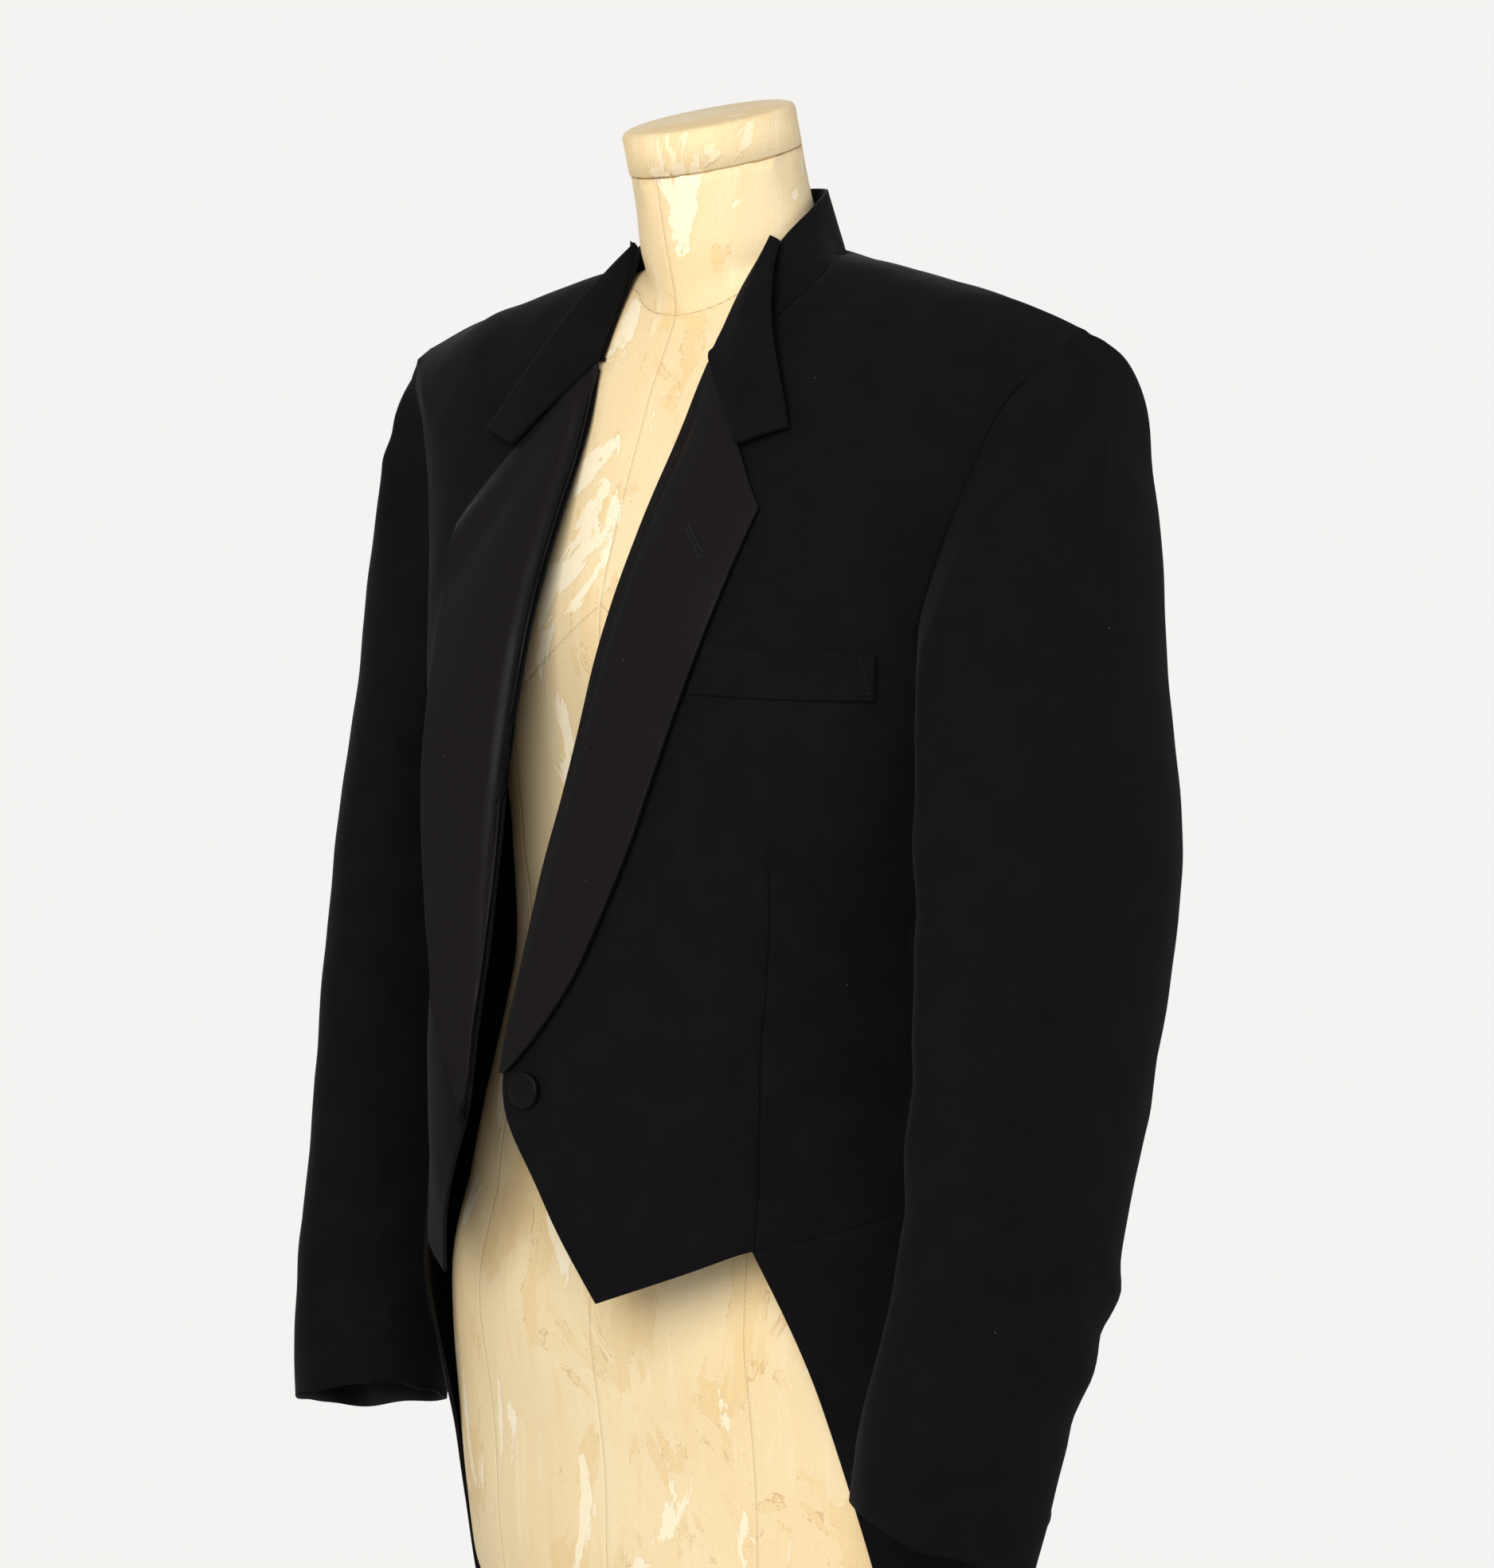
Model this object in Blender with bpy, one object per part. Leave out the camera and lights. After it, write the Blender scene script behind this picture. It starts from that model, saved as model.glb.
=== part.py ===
"""Tailcoat worn open on a limbless dress form with a pole and a round base.

Metres, +Z up, origin on the floor at the middle of the base. The wearer faces -Y
and the wearer's left is +X. Every cloth piece is a wall of one thickness, worked
out from the rings of the coat and of the sleeve.
"""

import math

import bmesh
import bpy
import numpy as np
from mathutils import Matrix, Vector

# Cloth thicknesses and the gaps between neighbours
WOOL = 0.0020
SATIN = 0.0024
COLLAR_CLOTH = 0.0026
SEAM = 0.0005
LAY_GAP = 0.0007
ARMHOLE_GAP = 0.0012
NECK_GAP = 0.0014

# Heights above the floor
TAIL_HEM_Z = 0.450
SIDE_WAIST_Z = 0.978
BACK_WAIST_Z = 0.985
FORM_BOTTOM_Z = 0.700

# Rings of the coat's outer face from the tail hem to the neck, with angles from 0 in front to 180 behind
# Columns: front z, side z, back z, half width, front y, middle y, back y, front power, back power
COAT_RINGS = (
    (0.450, 0.450, 0.450, 0.160, -0.070, 0.020, 0.112, 2.00, 2.2),
    (0.600, 0.600, 0.600, 0.176, -0.082, 0.010, 0.118, 2.00, 2.2),
    (0.775, 0.775, 0.775, 0.196, -0.099, 0.000, 0.122, 2.00, 2.2),
    (0.860, 0.860, 0.860, 0.204, -0.128, 0.000, 0.121, 2.00, 2.2),
    (0.917, 0.917, 0.917, 0.202, -0.172, 0.000, 0.114, 1.90, 2.2),
    (0.970, 0.970, 0.970, 0.192, -0.183, -0.005, 0.100, 1.90, 2.2),
    (1.030, 1.030, 1.030, 0.179, -0.187, -0.010, 0.084, 2.00, 2.2),
    (1.100, 1.100, 1.100, 0.171, -0.1735, -0.010, 0.076, 2.30, 2.2),
    (1.150, 1.150, 1.150, 0.175, -0.163, -0.005, 0.084, 2.50, 2.2),
    (1.205, 1.205, 1.205, 0.187, -0.151, 0.000, 0.098, 2.60, 2.2),
    (1.270, 1.295, 1.290, 0.201, -0.1335, 0.000, 0.107, 2.40, 2.2),
    (1.320, 1.380, 1.365, 0.231, -0.113, -0.003, 0.098, 2.10, 2.1),
    (1.360, 1.427, 1.413, 0.250, -0.093, -0.009, 0.080, 2.00, 2.0),
    (1.391, 1.446, 1.442, 0.188, -0.080, -0.008, 0.066, 2.00, 2.0),
    (1.416, 1.461, 1.465, 0.126, -0.070, -0.007, 0.054, 2.00, 2.0),
    (1.437, 1.473, 1.481, 0.064, -0.060, -0.006, 0.043, 2.00, 2.0),
)
NECK_RING = len(COAT_RINGS) - 1

# Front edge and roll line in front view, from the cut away point up to the gorge. Columns: x, z
FRONT_EDGE = (
    (0.0600, 0.917),
    (0.0490, 0.943),
    (0.0340, 0.975),
    (0.0190, 1.005),
    (0.0130, 1.022),
    (0.0125, 1.040),
    (0.0140, 1.080),
    (0.0185, 1.140),
    (0.0250, 1.195),
    (0.0285, 1.250),
    (0.0320, 1.300),
    (0.0350, 1.340),
    (0.0390, 1.380),
    (0.0430, 1.410),
)

# How much closer the right front hangs than the left one. Columns: z, length inwards
RIGHT_FALL = (
    (0.850, 0.0000),
    (0.900, 0.0060),
    (0.945, 0.0145),
    (0.990, 0.0160),
    (1.040, 0.0150),
    (1.080, 0.0130),
    (1.126, 0.0108),
    (1.170, 0.0085),
    (1.214, 0.0060),
    (1.260, 0.0030),
    (1.310, 0.0000),
)
# Angles at which that fall starts, is full, starts to end and ends
FALL_ANGLES = (12.0, 40.0, 60.0, 86.0)

# Hem of the forepart from the cut away point to where the tail begins. Columns: x, z
FRONT_HEM = ((0.0600, 0.917), (0.1010, 0.934), (0.1370, 0.951))

# Armhole in side view, closed, from the shoulder tip forwards and down. Columns: y, z
ARMHOLE = (
    (-0.011, 1.4265),
    (-0.037, 1.4000),
    (-0.048, 1.3560),
    (-0.056, 1.3080),
    (-0.060, 1.2570),
    (-0.036, 1.2120),
    (0.000, 1.2000),
    (0.036, 1.2150),
    (0.050, 1.2650),
    (0.046, 1.3300),
    (0.026, 1.3950),
)
ARMHOLE_BOTTOM = 6
SIDE_SEAM_AT_ARMHOLE = 5.3
BACK_SEAM_AT_ARMHOLE = 8.8
SIDE_BODY_TIP = 8.5

# Seam lines as angles round the coat. Columns: z, angle
SIDE_SEAM = ((0.978, 81.0), (1.100, 80.0))
BACK_SEAM = ((0.985, 157.0), (1.080, 156.0), (1.180, 150.0), (1.260, 139.0))
PLEAT_LINE = ((0.450, 160.0), (0.985, 157.0))
TAIL_EDGE = (
    (0.450, 112.0),
    (0.500, 101.0),
    (0.600, 81.0),
    (0.700, 66.0),
    (0.775, 56.2),
    (0.820, 51.2),
    (0.866, 48.6),
    (0.911, 48.4),
)

# Neckline from centre back towards the gorge, where the front edge ends. Columns: angle, ring
NECKLINE = (
    (180.0, 15.00),
    (150.0, 15.00),
    (120.0, 15.00),
    (91.0, 14.90),
    (63.0, 14.50),
    (45.0, 14.24),
    (29.0, 13.92),
)
SHOULDER_POINT = 3

# Top of the collar from centre back to the gorge, where it folds. Columns: x, y, z
COLLAR_FOLD = (
    (0.0000, 0.0365, 1.512),
    (0.0250, 0.0320, 1.511),
    (0.0440, 0.0155, 1.507),
    (0.0545, -0.0080, 1.496),
    (0.0540, -0.0300, 1.478),
    (0.0480, -0.0480, 1.452),
    (0.0450, -0.0640, 1.424),
)

# Rings of the left sleeve's outer face below the armhole
# Columns: outer x, outer z, inner x, inner z, middle y, half depth, toe in angle, rise of the front
SLEEVE_RINGS = (
    (0.2570, 1.413, 0.1905, 1.188, 0.001, 0.060, 0.0, 0.000),
    (0.2610, 1.380, 0.1925, 1.175, 0.001, 0.067, 1.0, 0.000),
    (0.2630, 1.330, 0.1945, 1.158, -0.001, 0.071, 2.0, 0.000),
    (0.2660, 1.265, 0.1955, 1.130, -0.004, 0.074, 4.0, 0.000),
    (0.2730, 1.190, 0.1965, 1.092, -0.010, 0.076, 5.0, 0.000),
    (0.2770, 1.120, 0.1990, 1.050, -0.017, 0.075, 7.0, 0.000),
    (0.2800, 1.050, 0.2000, 1.005, -0.026, 0.072, 9.0, 0.000),
    (0.2790, 0.985, 0.1990, 0.960, -0.036, 0.0665, 11.0, 0.000),
    (0.2770, 0.925, 0.1960, 0.915, -0.048, 0.061, 14.0, 0.003),
    (0.2720, 0.865, 0.1900, 0.868, -0.063, 0.0565, 17.0, 0.006),
    (0.2650, 0.804, 0.1840, 0.819, -0.072, 0.0490, 20.0, 0.014),
)
SLEEVE_POWER = 2.15
# How far each ring's front stands forward over the armhole, then that fullness's middle angle, spread and way
FRONT_FULLNESS = (0.0235, 0.0205, 0.0170, 0.0125, 0.0075, 0.0045, 0.0020, 0.0, 0.0, 0.0, 0.0)
FULLNESS_MIDDLE = 116.0
FULLNESS_SPREAD = 62.0
FULLNESS_WAY = (-0.55, -0.83, 0.0)
FRONT_SLEEVE_SEAM = 128.0
HIND_SLEEVE_SEAM = 262.0

# Lapel outline in front view. Columns: x, z
LAPEL_EDGE = (
    (0.0150, 1.036),
    (0.0220, 1.042),
    (0.0350, 1.058),
    (0.0508, 1.086),
    (0.0642, 1.122),
    (0.0766, 1.164),
    (0.0866, 1.210),
    (0.0962, 1.258),
    (0.1054, 1.305),
    (0.1110, 1.333),
)
# The right lapel hangs open, so its foot lies lower
RIGHT_LAPEL_EDGE = (
    (0.0180, 1.008),
    (0.0210, 1.020),
    (0.0270, 1.035),
    (0.0420, 1.058),
) + LAPEL_EDGE[3:]
LAPEL_NOTCH = (0.0860, 1.363)
LEAF_CORNER = (0.1160, 1.373)

# Outer edge of the turned out collar above its corner. Columns: x, y, z
LEAF_EDGE = (
    (0.0575, -0.0335, 1.4765),
    (0.0650, -0.0460, 1.461),
    (0.0755, -0.0580, 1.442),
    (0.0885, -0.0690, 1.4175),
)

# Breast welt in front view: its lower corners, its height and its distance from the lapel
WELT_INNER_Z = 1.2365
WELT_OUTER = (0.1735, 1.2355)
WELT_HEIGHT = 0.0245
WELT_CLOTH = 0.0018
WELT_CLEAR = 0.0015

# Buttons
BUTTON_AT = (0.0295, 1.029)
BUTTON_RADIUS = 0.0095
BUTTON_HEIGHT = 0.0052
CUFF_BUTTON_RADIUS = 0.0085
CUFF_BUTTON_HEIGHT = 0.0048
CUFF_BUTTON_RING = 10.70

# Rings of the dress form from its flat bottom to the neck, with the columns of the coat's rings
FORM_RINGS = (
    (0.700, 0.700, 0.700, 0.163, -0.068, 0.005, 0.090, 2.10, 2.1),
    (0.716, 0.716, 0.716, 0.180, -0.086, 0.005, 0.101, 2.12, 2.1),
    (0.755, 0.755, 0.755, 0.1885, -0.0930, 0.005, 0.107, 2.15, 2.1),
    (0.823, 0.823, 0.823, 0.1955, -0.0975, 0.004, 0.111, 2.18, 2.1),
    (0.900, 0.900, 0.900, 0.1945, -0.1100, 0.003, 0.106, 2.18, 2.1),
    (0.970, 0.970, 0.970, 0.178, -0.0980, 0.000, 0.090, 2.12, 2.1),
    (1.040, 1.040, 1.040, 0.159, -0.093, -0.002, 0.074, 2.00, 2.1),
    (1.120, 1.120, 1.120, 0.147, -0.090, -0.002, 0.066, 2.00, 2.1),
    (1.200, 1.200, 1.200, 0.156, -0.098, 0.000, 0.082, 2.00, 2.1),
    (1.270, 1.280, 1.280, 0.174, -0.110, 0.000, 0.092, 2.00, 2.1),
    (1.330, 1.360, 1.350, 0.186, -0.0966, -0.002, 0.084, 2.00, 2.1),
    (1.372, 1.420, 1.405, 0.186, -0.082, -0.005, 0.070, 2.00, 2.0),
    (1.398, 1.4420, 1.438, 0.166, -0.073, -0.006, 0.058, 2.00, 2.0),
    (1.420, 1.4586, 1.460, 0.118, -0.063, -0.007, 0.045, 2.00, 2.0),
    (1.441, 1.4695, 1.4770, 0.0575, -0.0563, -0.007, 0.037, 2.00, 2.0),
    (1.470, 1.485, 1.498, 0.0505, -0.0630, -0.015, 0.0305, 2.00, 2.0),
    (1.508, 1.523, 1.538, 0.0470, -0.0725, -0.0265, 0.0195, 2.00, 2.0),
)
CAP_RADIUS = 0.0480
CAP_HEIGHT = 0.0245
CAP_TILT = 16.4
CAP_CENTRE = (0.0, -0.0270, 1.523)

# Stand
POLE_RADIUS = 0.0125
BASE_RADIUS = 0.170
BASE_HEIGHT = 0.020
BOSS_RADIUS = 0.028
BOSS_TOP = 0.048
REST_GAP = 0.0003

# Colours and finishes. Columns: red, green, blue, roughness, metallic
FINISHES = {
    "wool": (0.012, 0.012, 0.014, 0.85, 0.0),
    "satin": (0.018, 0.016, 0.016, 0.45, 0.0),
    "paper": (0.80, 0.66, 0.42, 0.70, 0.0),
    "cap paper": (0.74, 0.62, 0.42, 0.70, 0.0),
    "steel": (0.32, 0.32, 0.33, 0.35, 1.0),
    "iron": (0.03, 0.03, 0.03, 0.55, 0.6),
}


def spline(rows, at):
    """Smooth curve through the rows, read at row numbers that may be fractions."""
    rows = np.asarray(rows, float)
    last = len(rows) - 1
    at = np.clip(np.asarray(at, float), 0, last)
    k = np.minimum(at.astype(int), last - 1)
    t = (at - k)[..., None]
    here, ahead = rows[k], rows[k + 1]
    before = np.where((k > 0)[..., None], rows[np.maximum(k - 1, 0)], 2 * here - ahead)
    after = np.where((k < last - 1)[..., None], rows[np.minimum(k + 2, last)], 2 * ahead - here)
    return 0.5 * (
        2 * here
        + (ahead - before) * t
        + (2 * before - 5 * here + 4 * ahead - after) * t**2
        + (3 * here - before - 3 * ahead + after) * t**3
    )


def through(rows, key, values):
    """The spline's other columns where its column number key takes the given values."""
    at = np.linspace(0, len(rows) - 1, 40 * (len(rows) - 1) + 1)
    curve = spline(rows, at)
    others = [i for i in range(curve.shape[1]) if i != key]
    return np.stack([np.interp(values, curve[:, key], curve[:, i]) for i in others], -1)


def ring_point(rings, angle, ring):
    """Points of a ringed surface at angles in degrees and ring numbers."""
    angle, ring = np.broadcast_arrays(np.asarray(angle, float), np.asarray(ring, float))
    columns = np.moveaxis(spline(rings, ring), -1, 0)
    front_z, side_z, back_z, half, front_y, mid_y, back_y, front_power, back_power = columns
    s = np.sin(np.radians(angle))
    c = np.cos(np.radians(angle))
    in_front = c >= 0
    bend = 2 / np.where(in_front, front_power, back_power)
    x = half * np.sign(s) * np.abs(s) ** bend
    y = mid_y + (np.where(in_front, front_y, back_y) - mid_y) * np.abs(c) ** bend
    z = side_z + (np.where(in_front, front_z, back_z) - side_z) * c**2
    return np.stack([x, y, z], -1)


def normal_of(surface, a, b, step_a, step_b, low_b, high_b):
    """Unit normals of surface(a, b), pointing along its a direction crossed with its b direction."""
    along_a = surface(a + step_a, b) - surface(a - step_a, b)
    along_b = surface(a, np.minimum(b + step_b, high_b)) - surface(a, np.maximum(b - step_b, low_b))
    n = np.cross(along_a, along_b)
    return n / np.linalg.norm(n, axis=-1, keepdims=True)


def coat(angle, ring):
    return ring_point(COAT_RINGS, angle, ring)


def coat_out(uv, out):
    """Points moved out from the coat's face, for an array of angle and ring pairs."""
    angle, ring = uv[..., 0], uv[..., 1]
    n = normal_of(coat, angle, ring, 0.5, 0.03, 0, NECK_RING)
    return coat(angle, ring) + n * np.asarray(out)[..., None]


def right_fall(uv):
    """How far inwards the right front hangs, at angle and ring pairs."""
    start, full, wane, end = FALL_ANGLES
    share = np.clip((uv[..., 0] - start) / (full - start), 0, 1)
    rest = np.clip((end - uv[..., 0]) / (end - wane), 0, 1)
    heights, lengths = zip(*RIGHT_FALL)
    depth = np.interp(coat(uv[..., 0], uv[..., 1])[..., 2], heights, lengths)
    return depth * share**2 * (3 - 2 * share) * rest**2 * (3 - 2 * rest)


def find_ring(height_at, z):
    """Ring numbers where height_at(ring) reaches z, by halving."""
    z = np.asarray(z, float)
    low = np.zeros_like(z)
    high = np.full_like(z, NECK_RING)
    for _ in range(40):
        middle = (low + high) / 2
        under = height_at(middle) < z
        low = np.where(under, middle, low)
        high = np.where(under, high, middle)
    return (low + high) / 2


def uv_from_angle(angle, z):
    angle = np.broadcast_to(np.asarray(angle, float), np.shape(z))
    ring = find_ring(lambda r: coat(angle, r)[..., 2], z)
    return np.stack([angle, ring], -1)


def uv_from_front(x, z):
    """Angle and ring of the coat's front at x and z in front view."""
    x, z = np.broadcast_arrays(np.asarray(x, float), np.asarray(z, float))

    def angle_at(ring):
        columns = spline(COAT_RINGS, ring)
        return np.degrees(np.arcsin(np.clip(x / columns[..., 3], 0, 1) ** (columns[..., 7] / 2)))

    ring = find_ring(lambda r: coat(angle_at(r), r)[..., 2], z)
    return np.stack([angle_at(ring), ring], -1)


def uv_from_side(y, z):
    """Angle and ring of the coat's side at y and z in side view."""
    y, z = np.broadcast_arrays(np.asarray(y, float), np.asarray(z, float))

    def angle_at(ring):
        columns = spline(COAT_RINGS, ring)
        ahead = y < columns[..., 5]
        end = np.where(ahead, columns[..., 4], columns[..., 6])
        power = np.where(ahead, columns[..., 7], columns[..., 8])
        share = np.clip((y - columns[..., 5]) / (end - columns[..., 5]), 0, 1) ** (power / 2)
        return np.degrees(np.arccos(np.where(ahead, share, -share)))

    ring = find_ring(lambda r: coat(angle_at(r), r)[..., 2], z)
    return np.stack([angle_at(ring), ring], -1)


def armhole(at):
    """Angle and ring along the armhole, at numbers of its points from 0 round to the last."""
    ends = ARMHOLE[-2:] + ARMHOLE + ARMHOLE[:2]
    points = spline(ends, np.asarray(at, float) + 2)
    return uv_from_side(points[..., 0], points[..., 1])


def evenly(first, last, count):
    """Numbers from first to last in count steps."""
    return np.linspace(first, last, count + 1)


def join(*runs):
    """Runs of points one after another, each starting where the last one ends."""
    return np.concatenate([runs[0]] + [run[1:] for run in runs[1:]])


def patch(left, right, bottom, top):
    """Angle and ring grid between four boundary runs, a row for each point of left."""
    s = np.linspace(0, 1, len(bottom))[None, :, None]
    t = np.linspace(0, 1, len(left))[:, None, None]
    sides = (1 - s) * left[:, None] + s * right[:, None]
    ends = (1 - t) * bottom[None] + t * top[None]
    corners = (
        (1 - s) * (1 - t) * left[0]
        + s * (1 - t) * right[0]
        + (1 - s) * t * left[-1]
        + s * t * right[-1]
    )
    return sides + ends - corners


def drawn_in(grid, left=0.0, right=0.0, bottom=0.0, top=0.0):
    """A grid of angles and rings whose borders are moved inwards by a length, or one for each point."""
    grid = grid.copy()
    borders = (
        (left, grid[:, 0], grid[:, 1]),
        (right, grid[:, -1], grid[:, -2]),
        (bottom, grid[0], grid[1]),
        (top, grid[-1], grid[-2]),
    )
    for length, edge, inside in borders:
        if np.any(length):
            step = np.linalg.norm(coat_out(edge, 0.0) - coat_out(inside, 0.0), axis=-1)
            edge += (inside - edge) * (length / np.maximum(step, length))[:, None]
    return grid


def edge_gaps(*runs):
    """Gaps along a border, from pairs of a length and the number of rows that have it."""
    return np.concatenate([[runs[0][0]]] + [np.full(count, length) for length, count in runs])


def material(name):
    """The named finish as a Principled material, made once."""
    found = bpy.data.materials.get(name)
    if found:
        return found
    red, green, blue, roughness, metallic = FINISHES[name]
    made = bpy.data.materials.new(name)
    made.use_nodes = True
    shader = made.node_tree.nodes["Principled BSDF"]
    shader.inputs["Base Color"].default_value = (red, green, blue, 1)
    shader.inputs["Roughness"].default_value = roughness
    shader.inputs["Metallic"].default_value = metallic
    made.diffuse_color = (red, green, blue, 1)
    return made


def add_object(name, bm, finish, sharp=40):
    """A bmesh as a named object with its own material, faces pointing out."""
    bm.normal_update()
    bmesh.ops.recalc_face_normals(bm, faces=bm.faces)
    mesh = bpy.data.meshes.new(name)
    bm.to_mesh(mesh)
    bm.free()
    mesh.shade_smooth()
    mesh.set_sharp_from_angle(angle=math.radians(sharp))
    mesh.materials.append(material(finish))
    obj = bpy.data.objects.new(name, mesh)
    bpy.context.scene.collection.objects.link(obj)
    return obj


def lofted(sheets, closed_rows=False):
    """A bmesh of point rows joined into a skin. Each sheet is rows by columns of points."""
    bm = bmesh.new()
    grids = [[[bm.verts.new(p) for p in row] for row in sheet] for sheet in sheets]
    for grid in grids:
        for low, high in zip(grid, grid[1:]):
            ends = zip(low, low[1:] + low[:1], high[1:] + high[:1], high)
            for face in list(ends)[: None if closed_rows else -1]:
                bm.faces.new(face)
    return bm, grids


def wall(outer, inner, mirrored=False):
    """A closed wall between two equal grids of points, open along all four borders."""
    side = np.array([-1 if mirrored else 1, 1, 1])
    bm, (front, back) = lofted([outer * side, inner * side])
    rims = (
        (front[0], back[0]),
        (front[-1], back[-1]),
        ([row[0] for row in front], [row[0] for row in back]),
        ([row[-1] for row in front], [row[-1] for row in back]),
    )
    for one, other in rims:
        for a, b, c, d in zip(one, one[1:], other[1:], other):
            bm.faces.new((a, b, c, d))
    return bm


def coat_wall(name, grid, finish, inside=-WOOL, outside=0.0):
    """The left and the right piece of one cut, as walls on the coat's face."""
    for side, mirrored in (("left", False), ("right", True)):
        fall = right_fall(grid) if mirrored else 0.0
        outer = coat_out(grid, outside - fall)
        inner = coat_out(grid, inside - fall)
        add_object(f"{name}_{side}", wall(outer, inner, mirrored), finish)


# Seam lines shared by neighbouring pieces
SIDE_ROWS = 8
ARM_ROWS = 12
SHOULDER_ROWS = 4
UNDERARM_ROWS = 8
BACK_ARM_ROWS = 4
TAIL_ROWS = 9
HEM_COLUMNS = 4
WAIST_COLUMNS = 4
SIDE_BODY_COLUMNS = 6
BACK_COLUMNS = 8


def angle_line(table, z):
    return uv_from_angle(through(table, 0, z)[..., 0], z)


def side_seam():
    """From the waist up to the armhole."""
    top = armhole(SIDE_SEAM_AT_ARMHOLE)
    top_z = coat(*top)[2]
    z = evenly(SIDE_WAIST_Z, top_z, SIDE_ROWS)
    angle = through(SIDE_SEAM + ((top_z, top[0]),), 0, z)[..., 0]
    return uv_from_angle(angle, z)


def back_seam():
    """From the waist up to the back of the armhole."""
    top = armhole(BACK_SEAM_AT_ARMHOLE)
    top_z = coat(*top)[2]
    z = evenly(BACK_WAIST_Z, top_z, SIDE_ROWS + UNDERARM_ROWS)
    angle = through(BACK_SEAM + ((top_z, top[0]),), 0, z)[..., 0]
    return uv_from_angle(angle, z)


def shoulder_seam():
    """From the armhole to the neck."""
    start = armhole(0)
    end = np.array(NECKLINE[SHOULDER_POINT])
    return start + (end - start) * evenly(0, 1, SHOULDER_ROWS)[:, None]


def neck_points():
    """The neckline's rows with the gorge as their last."""
    return np.array(NECKLINE + (tuple(uv_from_front(*FRONT_EDGE[-1])),))


def neckline(first, last, count):
    return spline(neck_points(), evenly(first, last, count))


def front_edge():
    """From the cut away point up to the gorge, with rows level with those of the side."""
    heights = join(
        evenly(FRONT_EDGE[0][1], 1.185, SIDE_ROWS),
        evenly(1.185, 1.335, ARM_ROWS),
        evenly(1.335, FRONT_EDGE[-1][1], SHOULDER_ROWS),
    )
    return uv_from_front(through(FRONT_EDGE, 1, heights)[..., 0], heights)


def waist_seam_front():
    """From the tail's front corner to the side seam."""
    start = uv_from_front(*FRONT_HEM[-1])
    end = side_seam()[0]
    return start + (end - start) * evenly(0, 1, WAIST_COLUMNS)[:, None]


def waist_seam_back():
    """From the side seam to the back seam."""
    start, end = side_seam()[0], back_seam()[0]
    return start + (end - start) * evenly(0, 1, SIDE_BODY_COLUMNS)[:, None]


def pleat_line():
    """From the tail hem up to the waist."""
    return angle_line(PLEAT_LINE, evenly(TAIL_HEM_Z, BACK_WAIST_Z, TAIL_ROWS))


def make_foreparts():
    hem = spline(FRONT_HEM, evenly(0, len(FRONT_HEM) - 1, HEM_COLUMNS))
    bottom = join(uv_from_front(hem[:, 0], hem[:, 1]), waist_seam_front())
    right = join(
        side_seam(),
        armhole(evenly(SIDE_SEAM_AT_ARMHOLE, 0, ARM_ROWS)),
        shoulder_seam(),
    )
    top = neckline(len(NECKLINE), SHOULDER_POINT, len(bottom) - 1)
    grid = patch(front_edge(), right, bottom, top)
    gaps = edge_gaps((SEAM / 2, SIDE_ROWS), (ARMHOLE_GAP, ARM_ROWS), (SEAM / 2, SHOULDER_ROWS))
    grid = drawn_in(grid, right=gaps, bottom=SEAM / 2, top=NECK_GAP)
    coat_wall("forepart", grid, "wool")


def make_side_bodies():
    left = join(
        side_seam(),
        armhole(evenly(SIDE_SEAM_AT_ARMHOLE, SIDE_BODY_TIP, UNDERARM_ROWS)),
    )
    top = armhole(evenly(SIDE_BODY_TIP, BACK_SEAM_AT_ARMHOLE, SIDE_BODY_COLUMNS))
    grid = patch(left, back_seam(), waist_seam_back(), top)
    gaps = edge_gaps((SEAM / 2, SIDE_ROWS), (ARMHOLE_GAP, UNDERARM_ROWS))
    grid = drawn_in(grid, left=gaps, right=SEAM / 2, bottom=SEAM / 2, top=1.5 * ARMHOLE_GAP)
    coat_wall("side_body", grid, "wool")


def make_backs():
    left = join(
        pleat_line(),
        back_seam(),
        armhole(evenly(BACK_SEAM_AT_ARMHOLE, len(ARMHOLE), BACK_ARM_ROWS)),
        shoulder_seam(),
    )
    heights = coat(left[:, 0], left[:, 1])[:, 2]
    neck_z = coat(*NECKLINE[0])[2]
    heights = heights[0] + (heights - heights[0]) * (neck_z - heights[0]) / (heights[-1] - heights[0])
    right = uv_from_angle(180.0, heights)
    bottom = uv_from_angle(evenly(left[0, 0], 180.0, BACK_COLUMNS), np.full(BACK_COLUMNS + 1, TAIL_HEM_Z))
    top = neckline(SHOULDER_POINT, 0, BACK_COLUMNS)
    gaps = edge_gaps(
        (SEAM / 2, TAIL_ROWS + SIDE_ROWS + UNDERARM_ROWS),
        (ARMHOLE_GAP, BACK_ARM_ROWS),
        (SEAM / 2, SHOULDER_ROWS),
    )
    grid = drawn_in(patch(left, right, bottom, top), left=gaps, right=SEAM / 2, top=NECK_GAP)
    coat_wall("back", grid, "wool")


def make_tail_skirts():
    top = join(waist_seam_front(), waist_seam_back())
    right = pleat_line()
    corner_z = FRONT_HEM[-1][1]
    edge_z = evenly(TAIL_HEM_Z, corner_z, TAIL_ROWS)
    corner = (corner_z, top[0, 0])
    left = uv_from_angle(through(TAIL_EDGE + (corner,), 0, edge_z)[..., 0], edge_z)
    angles = evenly(left[0, 0], right[0, 0], len(top) - 1)
    bottom = uv_from_angle(angles, np.full(len(top), TAIL_HEM_Z))
    grid = drawn_in(patch(left, right, bottom, top), right=SEAM / 2, top=SEAM / 2)
    coat_wall("tail_skirt", grid, "wool")


# Lapels, collar and welt
LAPEL_ROWS = 18
LAPEL_COLUMNS = 6
NOTCH_COLUMN = 4
ROLL_RISE = 0.0035
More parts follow.
